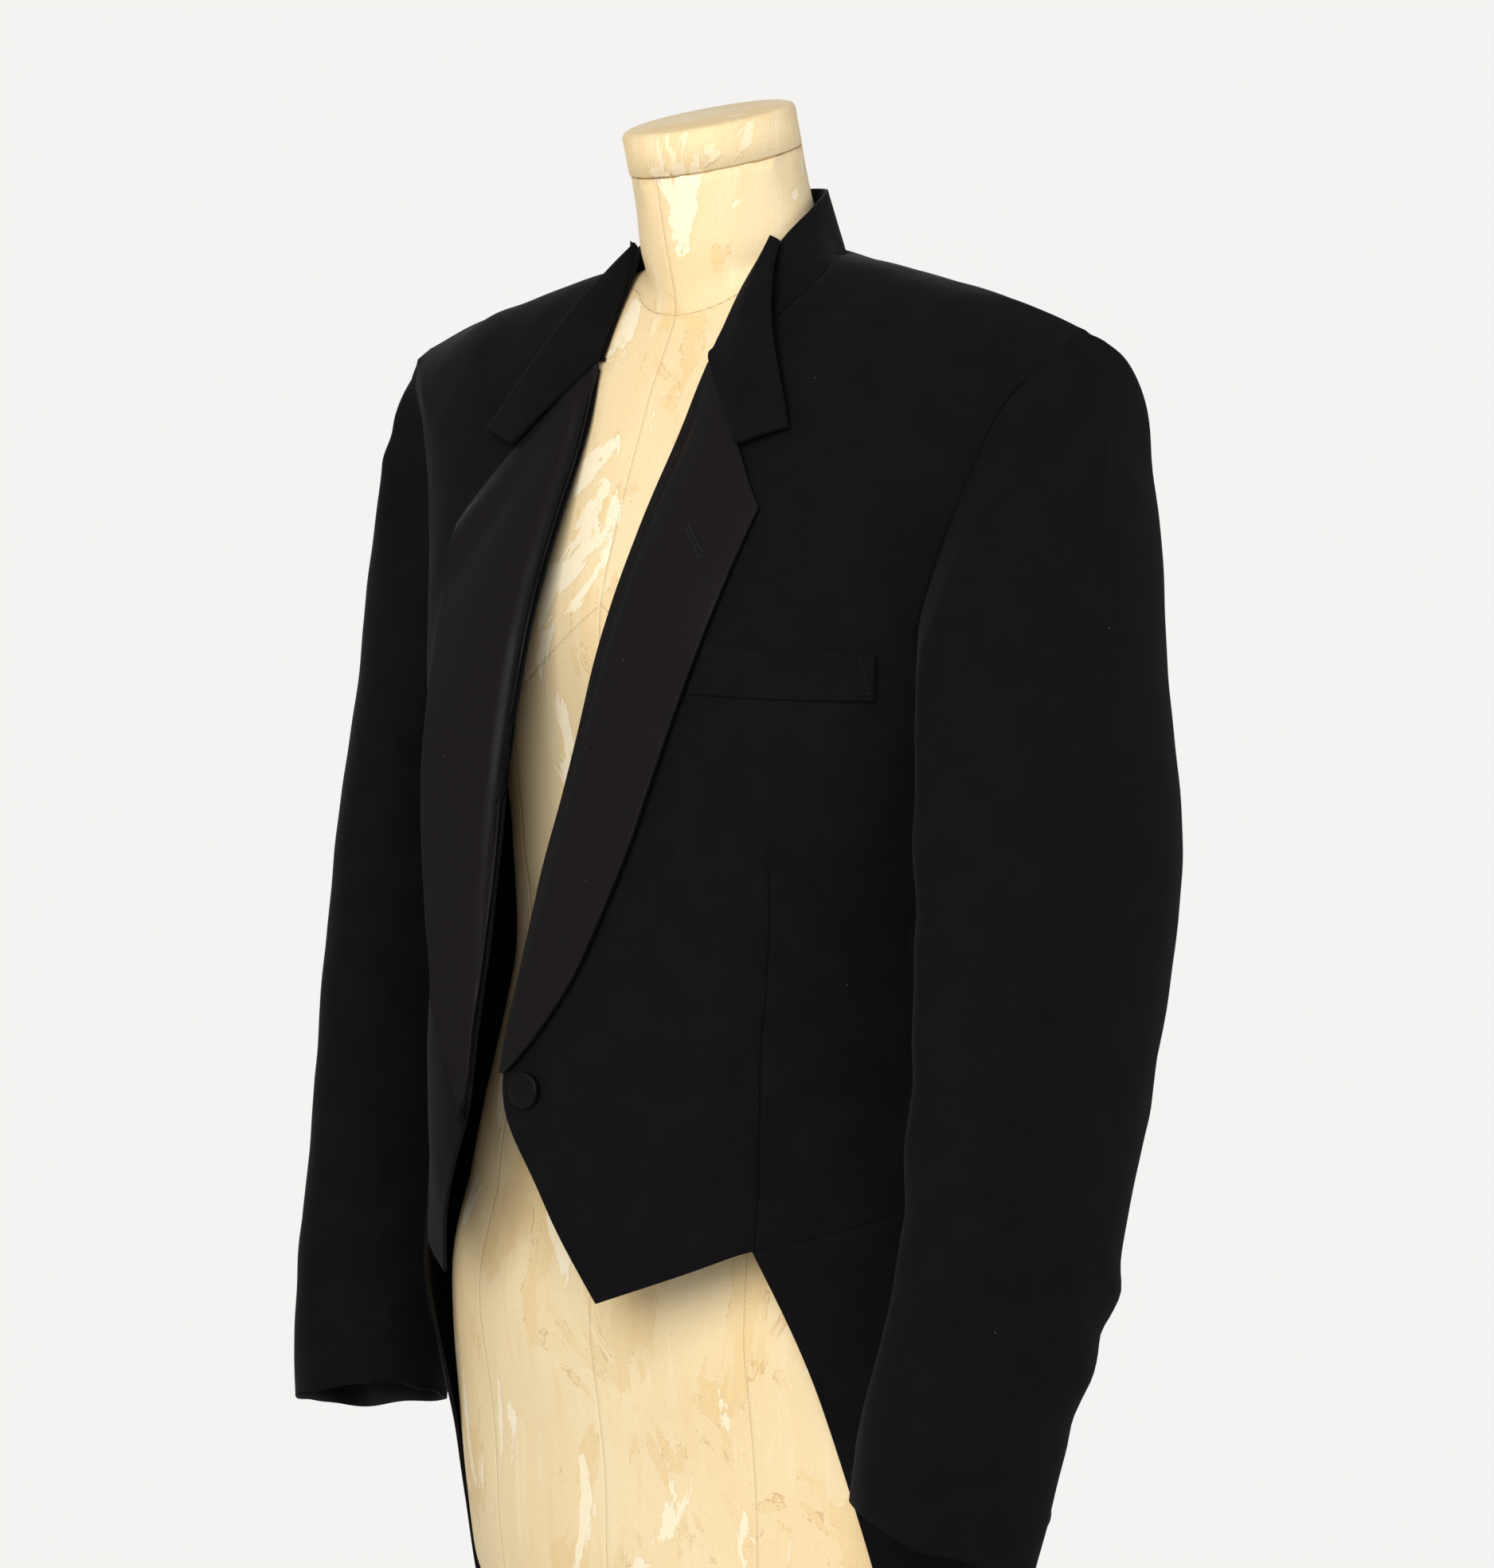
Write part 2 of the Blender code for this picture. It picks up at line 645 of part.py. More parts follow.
# Each lapel's side, whether it is mirrored, its outline, how far its edge stands off, and how high up
LAPEL_SIDES = (("left", False, LAPEL_EDGE, 0.0032, 1.0), ("right", True, RIGHT_LAPEL_EDGE, 0.0120, 1.8))


def roll_line(edge, count):
    """Front view points of the roll line from the lapel's foot to the gorge."""
    z = evenly(edge[0][1], FRONT_EDGE[-1][1], count)
    return np.stack([through(FRONT_EDGE, 1, z)[..., 0], z], -1)


def lapel_outer(edge, count):
    return spline(edge, evenly(0, len(edge) - 1, count))


def gorge(last, count):
    """Front view points from the gorge along the collar seam to the notch."""
    start = np.array(FRONT_EDGE[-1])
    end = np.array(last)
    return start + (end - start) * evenly(0, 1, count)[:, None]


def make_lapels():
    for side, mirrored, edge, lift, skew in LAPEL_SIDES:
        roll = roll_line(edge, LAPEL_ROWS)
        outer = lapel_outer(edge, LAPEL_ROWS)
        foot = roll[0] + (outer[0] - roll[0]) * evenly(0, 1, LAPEL_COLUMNS)[:, None]
        notch = np.array(LAPEL_NOTCH)
        tip = outer[-1]
        top = join(
            gorge(notch, NOTCH_COLUMN),
            notch + (tip - notch) * evenly(0, 1, LAPEL_COLUMNS - NOTCH_COLUMN)[:, None],
        )
        plan = patch(roll, outer, foot, top)
        grid = uv_from_front(plan[..., 0], plan[..., 1])
        across = np.linspace(0, 1, LAPEL_COLUMNS + 1)[None, :]
        along = np.linspace(0, 1, LAPEL_ROWS + 1)[:, None]
        rise = ROLL_RISE * np.sin(np.pi * across) ** 0.8 * (1 - across) * np.minimum(1, 3 * along)
        stand_off = across**2 * np.sin(np.pi * along**skew) ** 0.8
        under = LAY_GAP + rise + lift * stand_off - (right_fall(grid) if mirrored else 0.0)
        outer_face = coat_out(grid, under + SATIN)
        add_object(f"lapel_{side}", wall(outer_face, coat_out(grid, under), mirrored), "satin")


def both_sides(outer, inner):
    """A run of rows from one side joined to its mirror image through centre back."""
    flip = np.array([-1, 1, 1])
    return (
        np.concatenate([(outer * flip)[:0:-1], outer]),
        np.concatenate([(inner * flip)[:0:-1], inner]),
    )


STAND_STEPS = 16
STAND_RISE = 4
STAND_END = 0.35


def collar_fold(at):
    """Points of the collar's top edge, its last row being the gorge."""
    gorge_point = coat_out(uv_from_front(*FRONT_EDGE[-1]), 0.0)
    return spline(COLLAR_FOLD + (tuple(gorge_point),), at)


def grid_normals(grid):
    n = np.cross(np.gradient(grid, axis=0), np.gradient(grid, axis=1))
    return n / np.linalg.norm(n, axis=-1, keepdims=True)


def make_collar_stand():
    at = evenly(0, len(NECKLINE) - STAND_END, STAND_STEPS)
    uv = spline(neck_points(), at)
    base = coat_out(uv, 0.0)
    share = evenly(0, 1, STAND_RISE)[None, :, None]
    outer = base[:, None] + (collar_fold(at) - base)[:, None] * share
    n = grid_normals(outer)
    n *= np.sign((n * (outer - np.array([0, -0.01, 1.45]))).sum(-1, keepdims=True))
    inner = outer - n * COLLAR_CLOTH
    inner[:, 0] = coat_out(uv, -COLLAR_CLOTH)
    add_object("collar_stand", wall(*both_sides(outer, inner)), "wool")


LEAF_ROWS = 8
LEAF_COLUMNS = 5
LEAF_START = 4.1
LEAF_END = 6.98
LEAF_RISE = 0.003


def make_collar_leaves():
    """Turned out over the front of the stand, from its fold to the notch."""
    fold = collar_fold(evenly(LEAF_START, LEAF_END, LEAF_ROWS))
    corner = coat_out(uv_from_front(*LEAF_CORNER), 2 * LAY_GAP)
    edge = spline(LEAF_EDGE + (tuple(corner),), evenly(0, len(LEAF_EDGE), LEAF_ROWS))
    notch = coat_out(uv_from_front(*LAPEL_NOTCH), 2 * LAY_GAP)
    share = np.linspace(0, 1, LEAF_COLUMNS + 1)[None, :, None]
    laid = fold[:, None] + (edge - fold)[:, None] * share
    # The lower border runs along the gorge to the notch and then out to the corner
    lower = join(
        fold[-1] + (notch - fold[-1]) * evenly(0, 1, LEAF_COLUMNS - 2)[:, None],
        notch + (edge[-1] - notch) * evenly(0, 1, 2)[:, None],
    ) + np.array([0, 0, NECK_GAP])
    drop = np.linspace(0, 1, LEAF_ROWS + 1)[:, None, None] ** 2
    laid = laid + drop * (lower - laid[-1])[None]
    out = grid_normals(laid)
    out *= -np.sign(out[..., 1:2])
    inner = laid + out * (2 * LAY_GAP + LEAF_RISE * np.sin(np.pi * share))
    outer = inner + out * COLLAR_CLOTH
    for side, mirrored in (("left", False), ("right", True)):
        add_object(f"collar_leaf_{side}", wall(outer, inner, mirrored), "wool")


def make_welt():
    """Breast pocket welt on the left forepart only."""
    columns, rows = 8, 3
    lift = evenly(0, WELT_HEIGHT, rows)[:, None]
    across = evenly(0, 1, columns)[None, :]
    inner_x = through(LAPEL_EDGE, 1, WELT_INNER_Z + lift)[..., 0] + WELT_CLEAR
    x = inner_x + (WELT_OUTER[0] - inner_x) * across
    z = WELT_INNER_Z + (WELT_OUTER[1] - WELT_INNER_Z) * across + lift
    grid = uv_from_front(x, z)
    add_object(
        "breast_welt",
        wall(coat_out(grid, LAY_GAP + WELT_CLOTH), coat_out(grid, LAY_GAP)),
        "wool",
    )


# Sleeves
SLEEVE_ROWS = 19
TOP_STEPS_BEHIND = 7
TOP_STEPS_AHEAD = 9
UNDER_STEPS = 10


def sleeve_control(phi):
    """Points of the armhole and of every sleeve ring at angles from the top round the front."""
    phi = np.asarray(phi, float) % 360
    bottom, last = ARMHOLE_BOTTOM, len(ARMHOLE)
    at = np.where(phi < 180, phi / 180 * bottom, bottom + (phi - 180) / 180 * (last - bottom))
    rows = [coat_out(armhole(at), 0.0) + np.array([SEAM, 0, 0])]
    turn = np.radians(phi)
    bend = 2 / SLEEVE_POWER
    lateral = np.sign(np.cos(turn)) * np.abs(np.cos(turn)) ** bend
    forward = np.sign(np.sin(turn)) * np.abs(np.sin(turn)) ** bend
    aside = np.clip(np.abs(phi - FULLNESS_MIDDLE) / FULLNESS_SPREAD, 0, 1)
    full = np.cos(np.pi / 2 * aside) ** 2
    for row, more in zip(SLEEVE_RINGS, FRONT_FULLNESS):
        outer_x, outer_z, inner_x, inner_z, mid_y, depth, toe, rise = row
        toe = math.radians(toe)
        reach = (outer_x - inner_x) / 2
        side = np.array([reach * math.cos(toe), -reach * math.sin(toe), (outer_z - inner_z) / 2])
        front = np.array([-depth * math.sin(toe), -depth * math.cos(toe), rise])
        middle = np.array([(outer_x + inner_x) / 2, mid_y, (outer_z + inner_z) / 2])
        ring = middle + lateral[..., None] * side + forward[..., None] * front
        rows.append(ring + full[..., None] * more * np.array(FULLNESS_WAY))
    return np.stack(rows)


def sleeve(phi, w):
    """Points of the sleeve's outer face: phi round it in degrees, w along it in rings."""
    phi, w = np.broadcast_arrays(np.asarray(phi, float), np.asarray(w, float))
    control = sleeve_control(phi.ravel())
    picked = [spline(control[:, i], w.ravel()[i]) for i in range(phi.size)]
    return np.array(picked).reshape(phi.shape + (3,))


def sleeve_wall(phi, w):
    phi, w = np.meshgrid(phi, w)
    outer = sleeve(phi, w)
    last = len(SLEEVE_RINGS)
    n = normal_of(sleeve, phi, w, 1.0, 0.02, 0, last)
    return outer, outer - n * WOOL


def make_sleeves():
    last = len(SLEEVE_RINGS)
    w = np.concatenate([[0, 0.25, 0.6], np.linspace(1, last, SLEEVE_ROWS - 2)])
    gap = 0.25
    behind = evenly(HIND_SLEEVE_SEAM - 360 + gap, 0, TOP_STEPS_BEHIND)
    ahead = evenly(0, FRONT_SLEEVE_SEAM - gap, TOP_STEPS_AHEAD)
    cuts = (
        ("top_sleeve", join(behind, ahead)),
        ("under_sleeve", evenly(FRONT_SLEEVE_SEAM + gap, HIND_SLEEVE_SEAM - gap, UNDER_STEPS)),
    )
    for name, phi in cuts:
        outer, inner = sleeve_wall(phi, w)
        for side, mirrored in (("left", False), ("right", True)):
            add_object(f"{name}_{side}", wall(outer, inner, mirrored), "wool")


# Buttons
def button(name, place, out, radius, height, finish, mirrored=False):
    """A domed covered button whose flat back faces the cloth."""
    bm = bmesh.new()
    profile = (
        (0.0, 0.0),
        (radius * 0.86, 0.0),
        (radius, height * 0.30),
        (radius * 0.96, height * 0.58),
        (radius * 0.72, height * 0.88),
        (radius * 0.36, height * 0.98),
        (0.0, height),
    )
    verts = [bm.verts.new((r, 0, z)) for r, z in profile]
    edges = [bm.edges.new(pair) for pair in zip(verts, verts[1:])]
    bmesh.ops.spin(
        bm,
        geom=verts + edges,
        axis=(0, 0, 1),
        cent=(0, 0, 0),
        steps=20,
        angle=2 * math.pi,
        use_merge=True,
    )
    bmesh.ops.remove_doubles(bm, verts=bm.verts, dist=1e-6)
    side = Vector((-1 if mirrored else 1, 1, 1))
    out = Vector(out) * side
    place = Vector(place) * side
    turn = Vector((0, 0, 1)).rotation_difference(out)
    bm.transform(Matrix.Translation(place) @ turn.to_matrix().to_4x4())
    return add_object(name, bm, finish)


def make_buttons():
    uv = uv_from_front(*BUTTON_AT)
    out = normal_of(coat, uv[0], uv[1], 0.5, 0.03, 0, NECK_RING)
    button("front_button", coat_out(uv, 0.0), out, BUTTON_RADIUS, BUTTON_HEIGHT, "satin")
    seam, ring = np.array([HIND_SLEEVE_SEAM + 7.0]), np.array([CUFF_BUTTON_RING])
    out = normal_of(sleeve, seam, ring, 1.0, 0.02, 0, len(SLEEVE_RINGS))[0]
    place = sleeve(seam, ring)[0] + out * 0.0003
    for side, mirrored in (("left", False), ("right", True)):
        button(f"cuff_button_{side}", place, out, CUFF_BUTTON_RADIUS, CUFF_BUTTON_HEIGHT, "satin", mirrored)


# Dress form and stand
FORM_ROUND = 32
FORM_STEPS = 28


def make_form():
    angle = np.arange(FORM_ROUND) * 360 / FORM_ROUND
    ring = evenly(0, len(FORM_RINGS) - 1, FORM_STEPS)
    points = ring_point(FORM_RINGS, angle[None, :], ring[:, None])
    slope = math.tan(math.radians(CAP_TILT))
    points[-1, :, 2] = CAP_CENTRE[2] + slope * (points[-1, :, 1] - CAP_CENTRE[1])
    bm, (rows,) = lofted([points], closed_rows=True)
    for row in (rows[0], rows[-1]):
        bm.faces.new(row)
    add_object("form_torso", bm, "paper")


def turned(name, profile, finish, steps, at=(0, 0, 0), tilt=0.0, sharp=30):
    """A profile of radius and height pairs spun about the vertical, then tilted about X."""
    bm = bmesh.new()
    verts = [bm.verts.new((r, 0, z)) for r, z in profile]
    edges = [bm.edges.new(pair) for pair in zip(verts, verts[1:])]
    bmesh.ops.spin(
        bm,
        geom=verts + edges,
        axis=(0, 0, 1),
        cent=(0, 0, 0),
        steps=steps,
        angle=2 * math.pi,
        use_merge=True,
    )
    bmesh.ops.remove_doubles(bm, verts=bm.verts, dist=1e-6)
    bm.transform(Matrix.Translation(at) @ Matrix.Rotation(math.radians(tilt), 4, "X"))
    return add_object(name, bm, finish, sharp)


def make_neck_cap():
    r, h = CAP_RADIUS, CAP_HEIGHT
    profile = (
        (0.0, REST_GAP),
        (r - 0.0010, REST_GAP),
        (r, REST_GAP + 0.0012),
        (r, h - 0.0030),
        (r - 0.0012, h - 0.0008),
        (r - 0.0035, h),
        (0.0, h + 0.0006),
    )
    turned("form_neck_cap", profile, "cap paper", 40, CAP_CENTRE, CAP_TILT)


def make_stand():
    turned(
        "stand_pole",
        (
            (0.0, BOSS_TOP + REST_GAP),
            (POLE_RADIUS, BOSS_TOP + REST_GAP),
            (POLE_RADIUS, FORM_BOTTOM_Z - REST_GAP),
            (0.0, FORM_BOTTOM_Z - REST_GAP),
        ),
        "steel",
        24,
    )
    turned(
        "stand_base",
        (
            (0.0, 0.0),
            (BASE_RADIUS - 0.003, 0.0),
            (BASE_RADIUS, 0.003),
            (BASE_RADIUS, BASE_HEIGHT - 0.006),
            (BASE_RADIUS - 0.006, BASE_HEIGHT),
            (BOSS_RADIUS + 0.012, BASE_HEIGHT + 0.003),
            (BOSS_RADIUS, BASE_HEIGHT + 0.010),
            (BOSS_RADIUS, BOSS_TOP - 0.002),
            (BOSS_RADIUS - 0.002, BOSS_TOP),
            (0.0, BOSS_TOP),
        ),
        "iron",
        48,
    )


def main():
    for obj in list(bpy.data.objects):
        bpy.data.objects.remove(obj, do_unlink=True)
    make_foreparts()
    make_side_bodies()
    make_backs()
    make_tail_skirts()
    make_lapels()
    make_collar_stand()
    make_collar_leaves()
    make_welt()
    make_sleeves()
    make_buttons()
    make_form()
    make_neck_cap()
    make_stand()


main()
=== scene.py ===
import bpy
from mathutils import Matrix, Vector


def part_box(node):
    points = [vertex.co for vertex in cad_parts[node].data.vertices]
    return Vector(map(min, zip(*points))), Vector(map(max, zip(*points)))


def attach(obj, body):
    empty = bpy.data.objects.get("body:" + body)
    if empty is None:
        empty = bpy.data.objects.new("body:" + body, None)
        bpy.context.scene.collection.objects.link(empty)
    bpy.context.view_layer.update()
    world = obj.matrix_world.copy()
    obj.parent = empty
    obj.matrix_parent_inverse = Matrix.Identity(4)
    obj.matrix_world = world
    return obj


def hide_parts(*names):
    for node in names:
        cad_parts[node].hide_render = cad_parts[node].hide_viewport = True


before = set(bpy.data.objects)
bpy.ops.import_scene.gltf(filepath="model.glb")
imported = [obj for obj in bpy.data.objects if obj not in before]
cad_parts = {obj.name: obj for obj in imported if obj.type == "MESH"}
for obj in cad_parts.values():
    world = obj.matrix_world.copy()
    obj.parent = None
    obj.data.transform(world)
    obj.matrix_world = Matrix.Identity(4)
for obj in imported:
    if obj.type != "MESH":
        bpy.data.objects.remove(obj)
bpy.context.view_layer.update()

import math

import bmesh
import bpy
import numpy as np
from mathutils import Matrix, Vector
from mathutils.bvhtree import BVHTree

bl_info = {
    "name": "Tailcoat on a dress form",
    "version": (1, 0, 0),
    "blender": (4, 5, 0),
    "location": "View3D > Sidebar > Tailcoat",
    "description": "Makes a black tailcoat with satin lapels, worn on an aged paper dress form",
    "category": "Object",
}

# Lengths are in metres and angles in degrees unless a name says otherwise
MM = 0.001
WELD = 0.00001
TINY = 1e-12
FOLD_ANGLE = 50
CORNER_ANGLE = 28
FITTING_ROUNDS = 8
EASE_ROUNDS = 60
EASE_SHARES = (0.60, -0.62)

# Cloth walls are rounded by this much at their edges, or by this share of a thin wall
EDGE_WIDTH = 0.0007
EDGE_SHARE = 0.4

# Folds are laid out on cylinders round the coat and the sleeves, and fade at their ends by this power of a sine
COAT_CENTRE_Y = -0.030
COAT_RADIUS = 0.160
SLEEVE_RADIUS = 0.065
FOLD_FADE = 0.7
# Width in the middle of the coat over which the folds of one side turn to those of the other
BLEND_WIDTH = 0.02

# Small waves that cloth and paper have everywhere: their size and height on each, and their directions and steps
COAT_UNEVENNESS = (0.09, 0.00035)
SLEEVE_UNEVENNESS = (0.07, 0.0003)
FORM_UNEVENNESS = (0.11, 0.0004)
WAVES = ((1, 0.4, 0.7), (-0.5, 1, 0.6), (0.3, -0.8, 1), (0.9, 0.7, -0.5), (-0.7, 0.2, 1.3), (1.4, -1, 0.2))
WAVE_RATE = 0.7
WAVE_RATE_STEP = 0.17
WAVE_PHASE_STEP = 1.7

# Cloth beside the armhole is rounded in full up to the near distance, and not at all past the far one
ARMHOLE_STEPS = 80
SOFT_ROUNDS = 240
SOFT_SHARE = 0.5
SOFT_NEAR = 0.022
SOFT_FAR = 0.075

# Roll of the lapels: how wide and deep it is, and over what height it fades at the neck and at the foot
ROLL_ROWS = 60
ROLL_BAND = 0.006
ROLL_EDGE = 0.0015
ROLL_DEGREE = 5
ROLL_WIDTH = 0.008
ROLL_DEPTH = 0.004
ROLL_FADE = 0.035
ROLL_FOOT = 0.26
ROLL_CLEARANCE = 0.0006

# Edges this close are sewn together, but not in the back vent, which is open below its top, close to the middle
SEAM_REACH = 0.003
SEAM_SEARCH = SEAM_REACH * 4
VENT_TOP = 0.950
VENT_WIDTH = 0.01

# The wearer's sides, and which way each lies
SIDES = (("left", 1), ("right", -1))
# How often the grid of a cloth piece is halved
LEVELS = 3
# Cloth pieces of the coat's body that each side has, and the way that the left one faces
BODY_PIECES = (
    ("forepart", (0.4, -1, 0)), ("side_body", (1, 0.5, 0)), ("back", (0.2, 1, 0)), ("tail_skirt", (1, 0.6, 0)),
)
# Pieces of a sleeve, with 1 for the one that faces outwards and -1 for the one that faces the body
SLEEVE_PIECES = (("top_sleeve", 1), ("under_sleeve", -1))

# Folds of the coat's body: half width and rise in mm, then a path of (degrees from the front, height)
LEFT_COAT_FOLDS = (
    (20, -2.4, (50, 1.300), (57, 1.245), (63, 1.180), (68, 1.110)),
    (24, 1.2, (40, 1.315), (46, 1.250), (50, 1.190)),
    (12, -1.2, (70, 1.165), (76, 1.110), (80, 1.050)),
    (13, 1.3, (86, 1.150), (95, 1.095), (102, 1.030)),
    (12, -1.4, (100, 1.140), (108, 1.075), (112, 1.010)),
    (15, 1.5, (122, 1.215), (131, 1.150), (136, 1.070)),
    (15, -1.3, (136, 1.240), (144, 1.160), (147, 1.070)),
    (20, 0.9, (170, 1.330), (167, 1.240), (168, 1.150)),
    (18, -1.1, (150, 1.360), (156, 1.290), (157, 1.220)),
    (10, -0.9, (178, 1.405), (164, 1.398), (150, 1.388)),
    (8, -0.9, (120, 1.010), (140, 1.022), (158, 1.018)),
    (7, 0.8, (128, 0.992), (146, 0.999), (165, 1.003)),
    (17, 2.6, (88, 0.930), (90, 0.820), (94, 0.700), (97, 0.560), (99, 0.440)),
    (16, -2.8, (106, 0.900), (110, 0.760), (112, 0.600), (114, 0.440)),
    (18, 2.4, (124, 0.910), (127, 0.780), (129, 0.620), (131, 0.440)),
    (14, -2.2, (140, 0.930), (141, 0.790), (144, 0.620), (146, 0.440)),
    (15, 1.8, (166, 0.930), (168, 0.780), (169, 0.600), (170, 0.440)),
    (12, -0.7, (58, 1.045), (61, 1.000), (62, 0.960)),
    (14, 0.8, (20, 0.990), (30, 0.960), (40, 0.940)),
)
RIGHT_COAT_FOLDS = (
    (12, 1.9, (52, 1.385), (50, 1.345), (52, 1.290), (58, 1.230)),
    (12, -1.6, (62, 1.360), (59, 1.300), (63, 1.230), (69, 1.160)),
    (11, -1.2, (44, 1.375), (43, 1.330), (47, 1.260)),
    (16, -1.2, (55, 1.180), (62, 1.120), (66, 1.060)),
    (12, 1.4, (84, 1.160), (92, 1.100), (99, 1.040)),
    (11, -1.3, (97, 1.145), (105, 1.080), (111, 1.015)),
    (14, 1.3, (120, 1.225), (128, 1.165), (134, 1.080)),
    (14, -1.4, (134, 1.245), (143, 1.170), (149, 1.080)),
    (17, -1.0, (152, 1.350), (157, 1.280), (160, 1.200)),
    (9, -0.8, (176, 1.400), (163, 1.395), (147, 1.383)),
    (8, -1.0, (116, 1.015), (137, 1.027), (160, 1.024)),
    (7, 0.7, (124, 0.996), (144, 1.004), (162, 1.008)),
    (15, -2.2, (86, 0.900), (89, 0.780), (93, 0.640), (95, 0.440)),
    (17, 2.6, (100, 0.930), (104, 0.800), (107, 0.640), (109, 0.440)),
    (16, -2.6, (119, 0.900), (122, 0.760), (125, 0.600), (126, 0.440)),
    (17, 2.2, (138, 0.920), (139, 0.780), (141, 0.620), (142, 0.440)),
    (14, -1.6, (164, 0.900), (167, 0.760), (169, 0.600), (170, 0.440)),
)
# Folds of the sleeves, with their paths as (degrees from the outside towards the front, height)
LEFT_SLEEVE_FOLDS = (
    (7, -1.5, (88, 1.368), (72, 1.377), (48, 1.388)),
    (6, 0.8, (92, 1.352), (74, 1.362), (56, 1.368)),
    (6, -0.7, (100, 1.335), (84, 1.345), (70, 1.346)),
    (9, 0.5, (-8, 1.372), (-30, 1.352), (-52, 1.340)),
    (8, -0.6, (-10, 1.348), (-34, 1.330), (-58, 1.322)),
    (8, -0.8, (20, 1.395), (6, 1.380), (-14, 1.372)),
    (12, 1.6, (150, 1.185), (120, 1.170), (96, 1.150)),
    (11, -1.7, (158, 1.160), (128, 1.142), (102, 1.120)),
    (12, -1.8, (-60, 1.060), (-86, 1.046), (-116, 1.044)),
    (11, 1.6, (-54, 1.030), (-84, 1.016), (-118, 1.014)),
    (13, -1.7, (128, 1.050), (104, 1.040), (76, 1.012)),
    (11, 1.4, (132, 1.018), (106, 1.008), (82, 0.984)),
    (11, -1.2, (138, 0.990), (112, 0.978), (90, 0.956)),
    (26, 1.0, (30, 1.150), (24, 1.060), (28, 0.960)),
    (9, 2.4, (-22, 0.952), (-50, 0.936), (-84, 0.930)),
    (8, -2.4, (-12, 0.934), (-42, 0.915), (-80, 0.908)),
    (9, 1.6, (-4, 0.905), (-34, 0.893), (-66, 0.890)),
    (8, -1.8, (4, 0.884), (-26, 0.868), (-60, 0.868)),
    (12, -1.2, (96, 0.945), (74, 0.925), (50, 0.900)),
    (12, 1.3, (70, 0.905), (52, 0.880), (34, 0.845)),
    (14, -1.0, (-160, 1.120), (-172, 1.040), (-168, 0.960)),
    (11, 1.2, (170, 0.900), (150, 0.880), (134, 0.850)),
    (24, -4.0, (-95, 1.350), (-44, 1.364), (5, 1.370)),
    (72, 8.5, (-100, 1.150), (-44, 1.150), (10, 1.155)),
    (30, 3.0, (-95, 0.930), (-44, 0.925), (10, 0.930)),
)
RIGHT_SLEEVE_FOLDS = (
    (7, -1.3, (90, 1.364), (70, 1.374), (46, 1.382)),
    (6, 0.7, (96, 1.348), (78, 1.357), (60, 1.362)),
    (8, 1.2, (-14, 1.366), (-36, 1.349), (-58, 1.336)),
    (7, -1.4, (-18, 1.344), (-40, 1.327), (-64, 1.316)),
    (12, 1.5, (152, 1.176), (124, 1.166), (98, 1.150)),
    (11, -1.5, (156, 1.150), (130, 1.134), (104, 1.118)),
    (20, -1.0, (10, 1.240), (20, 1.160), (16, 1.080)),
    (12, -1.6, (-58, 1.070), (-84, 1.052), (-112, 1.050)),
    (11, 1.6, (-52, 1.038), (-82, 1.022), (-114, 1.020)),
    (12, -1.4, (124, 1.046), (100, 1.034), (70, 1.004)),
    (12, 1.8, (150, 0.968), (128, 0.954), (100, 0.934), (76, 0.915)),
    (11, -1.5, (146, 0.936), (124, 0.922), (98, 0.902)),
    (16, 0.9, (60, 1.010), (66, 0.940), (78, 0.870)),
    (9, 1.9, (-30, 0.945), (-58, 0.930), (-90, 0.926)),
    (8, -2.0, (-24, 0.922), (-54, 0.906), (-88, 0.902)),
    (12, -1.1, (88, 0.892), (64, 0.868), (40, 0.846)),
    (11, 1.2, (176, 0.905), (156, 0.882), (138, 0.852)),
)
# Waves of the unpressed cuff hems: turns round the sleeve, phase in degrees, drop and swell in mm
CUFF_WAVES = ((2, 40, 0.9, 1.3), (3, 200, 0.8, 0.9), (5, 95, 0.7, 0.6), (8, 310, 0.4, 0.3))

# Seams of the form: height and distance from the middle of the long panel seams
PANEL_SEAM = (
    (0.700, 0.0985), (0.774, 0.1023), (0.840, 0.1036), (0.871, 0.1043), (0.909, 0.1033), (0.943, 0.0996),
    (1.000, 0.0900), (1.060, 0.0820), (1.120, 0.0800), (1.200, 0.0860), (1.280, 0.0950), (1.360, 0.1020),
    (1.450, 0.1000),
)
# The neck seam of the form: distance behind the middle and height
NECK_SEAM = (
    (-0.0571, 1.4371), (-0.0539, 1.4406), (-0.0454, 1.4504), (-0.0418, 1.4530), (-0.0070, 1.4665), (0.0370, 1.4750),
)
# The bust seams of the form: distance from the middle and height of their start, their fall, and how far out they end
BUST_SEAM_START = (0.0071, 1.2761)
BUST_SEAM_SLOPE = 0.636
BUST_SEAM_END = 0.0984

# The left armhole from its front over the shoulder to its back
ARMHOLE = (
    (0.1983, -0.0541, 1.3245), (0.2067, -0.0498, 1.3482), (0.2157, -0.0454, 1.3714), (0.2281, -0.0400, 1.3931),
    (0.2422, -0.0302, 1.4114), (0.2505, -0.0120, 1.4261), (0.2491, 0.0006, 1.4211), (0.2406, 0.0158, 1.4090),
    (0.2246, 0.0293, 1.3896), (0.2099, 0.0389, 1.3636), (0.1973, 0.0450, 1.3353),
)
# Fullness of the form beside its front: height and mm, then the middle and the reach of the angle from the front
FORM_FULLNESS = (
    (0.950, 0.0), (0.975, 4.5), (1.000, 6.5), (1.020, 6.0), (1.052, 2.5), (1.077, 1.0), (1.111, 5.3), (1.142, 8.0),
    (1.190, 8.0), (1.240, 5.0), (1.300, 0.0),
)
FULLNESS_ANGLE = 48
FULLNESS_REACH = 36

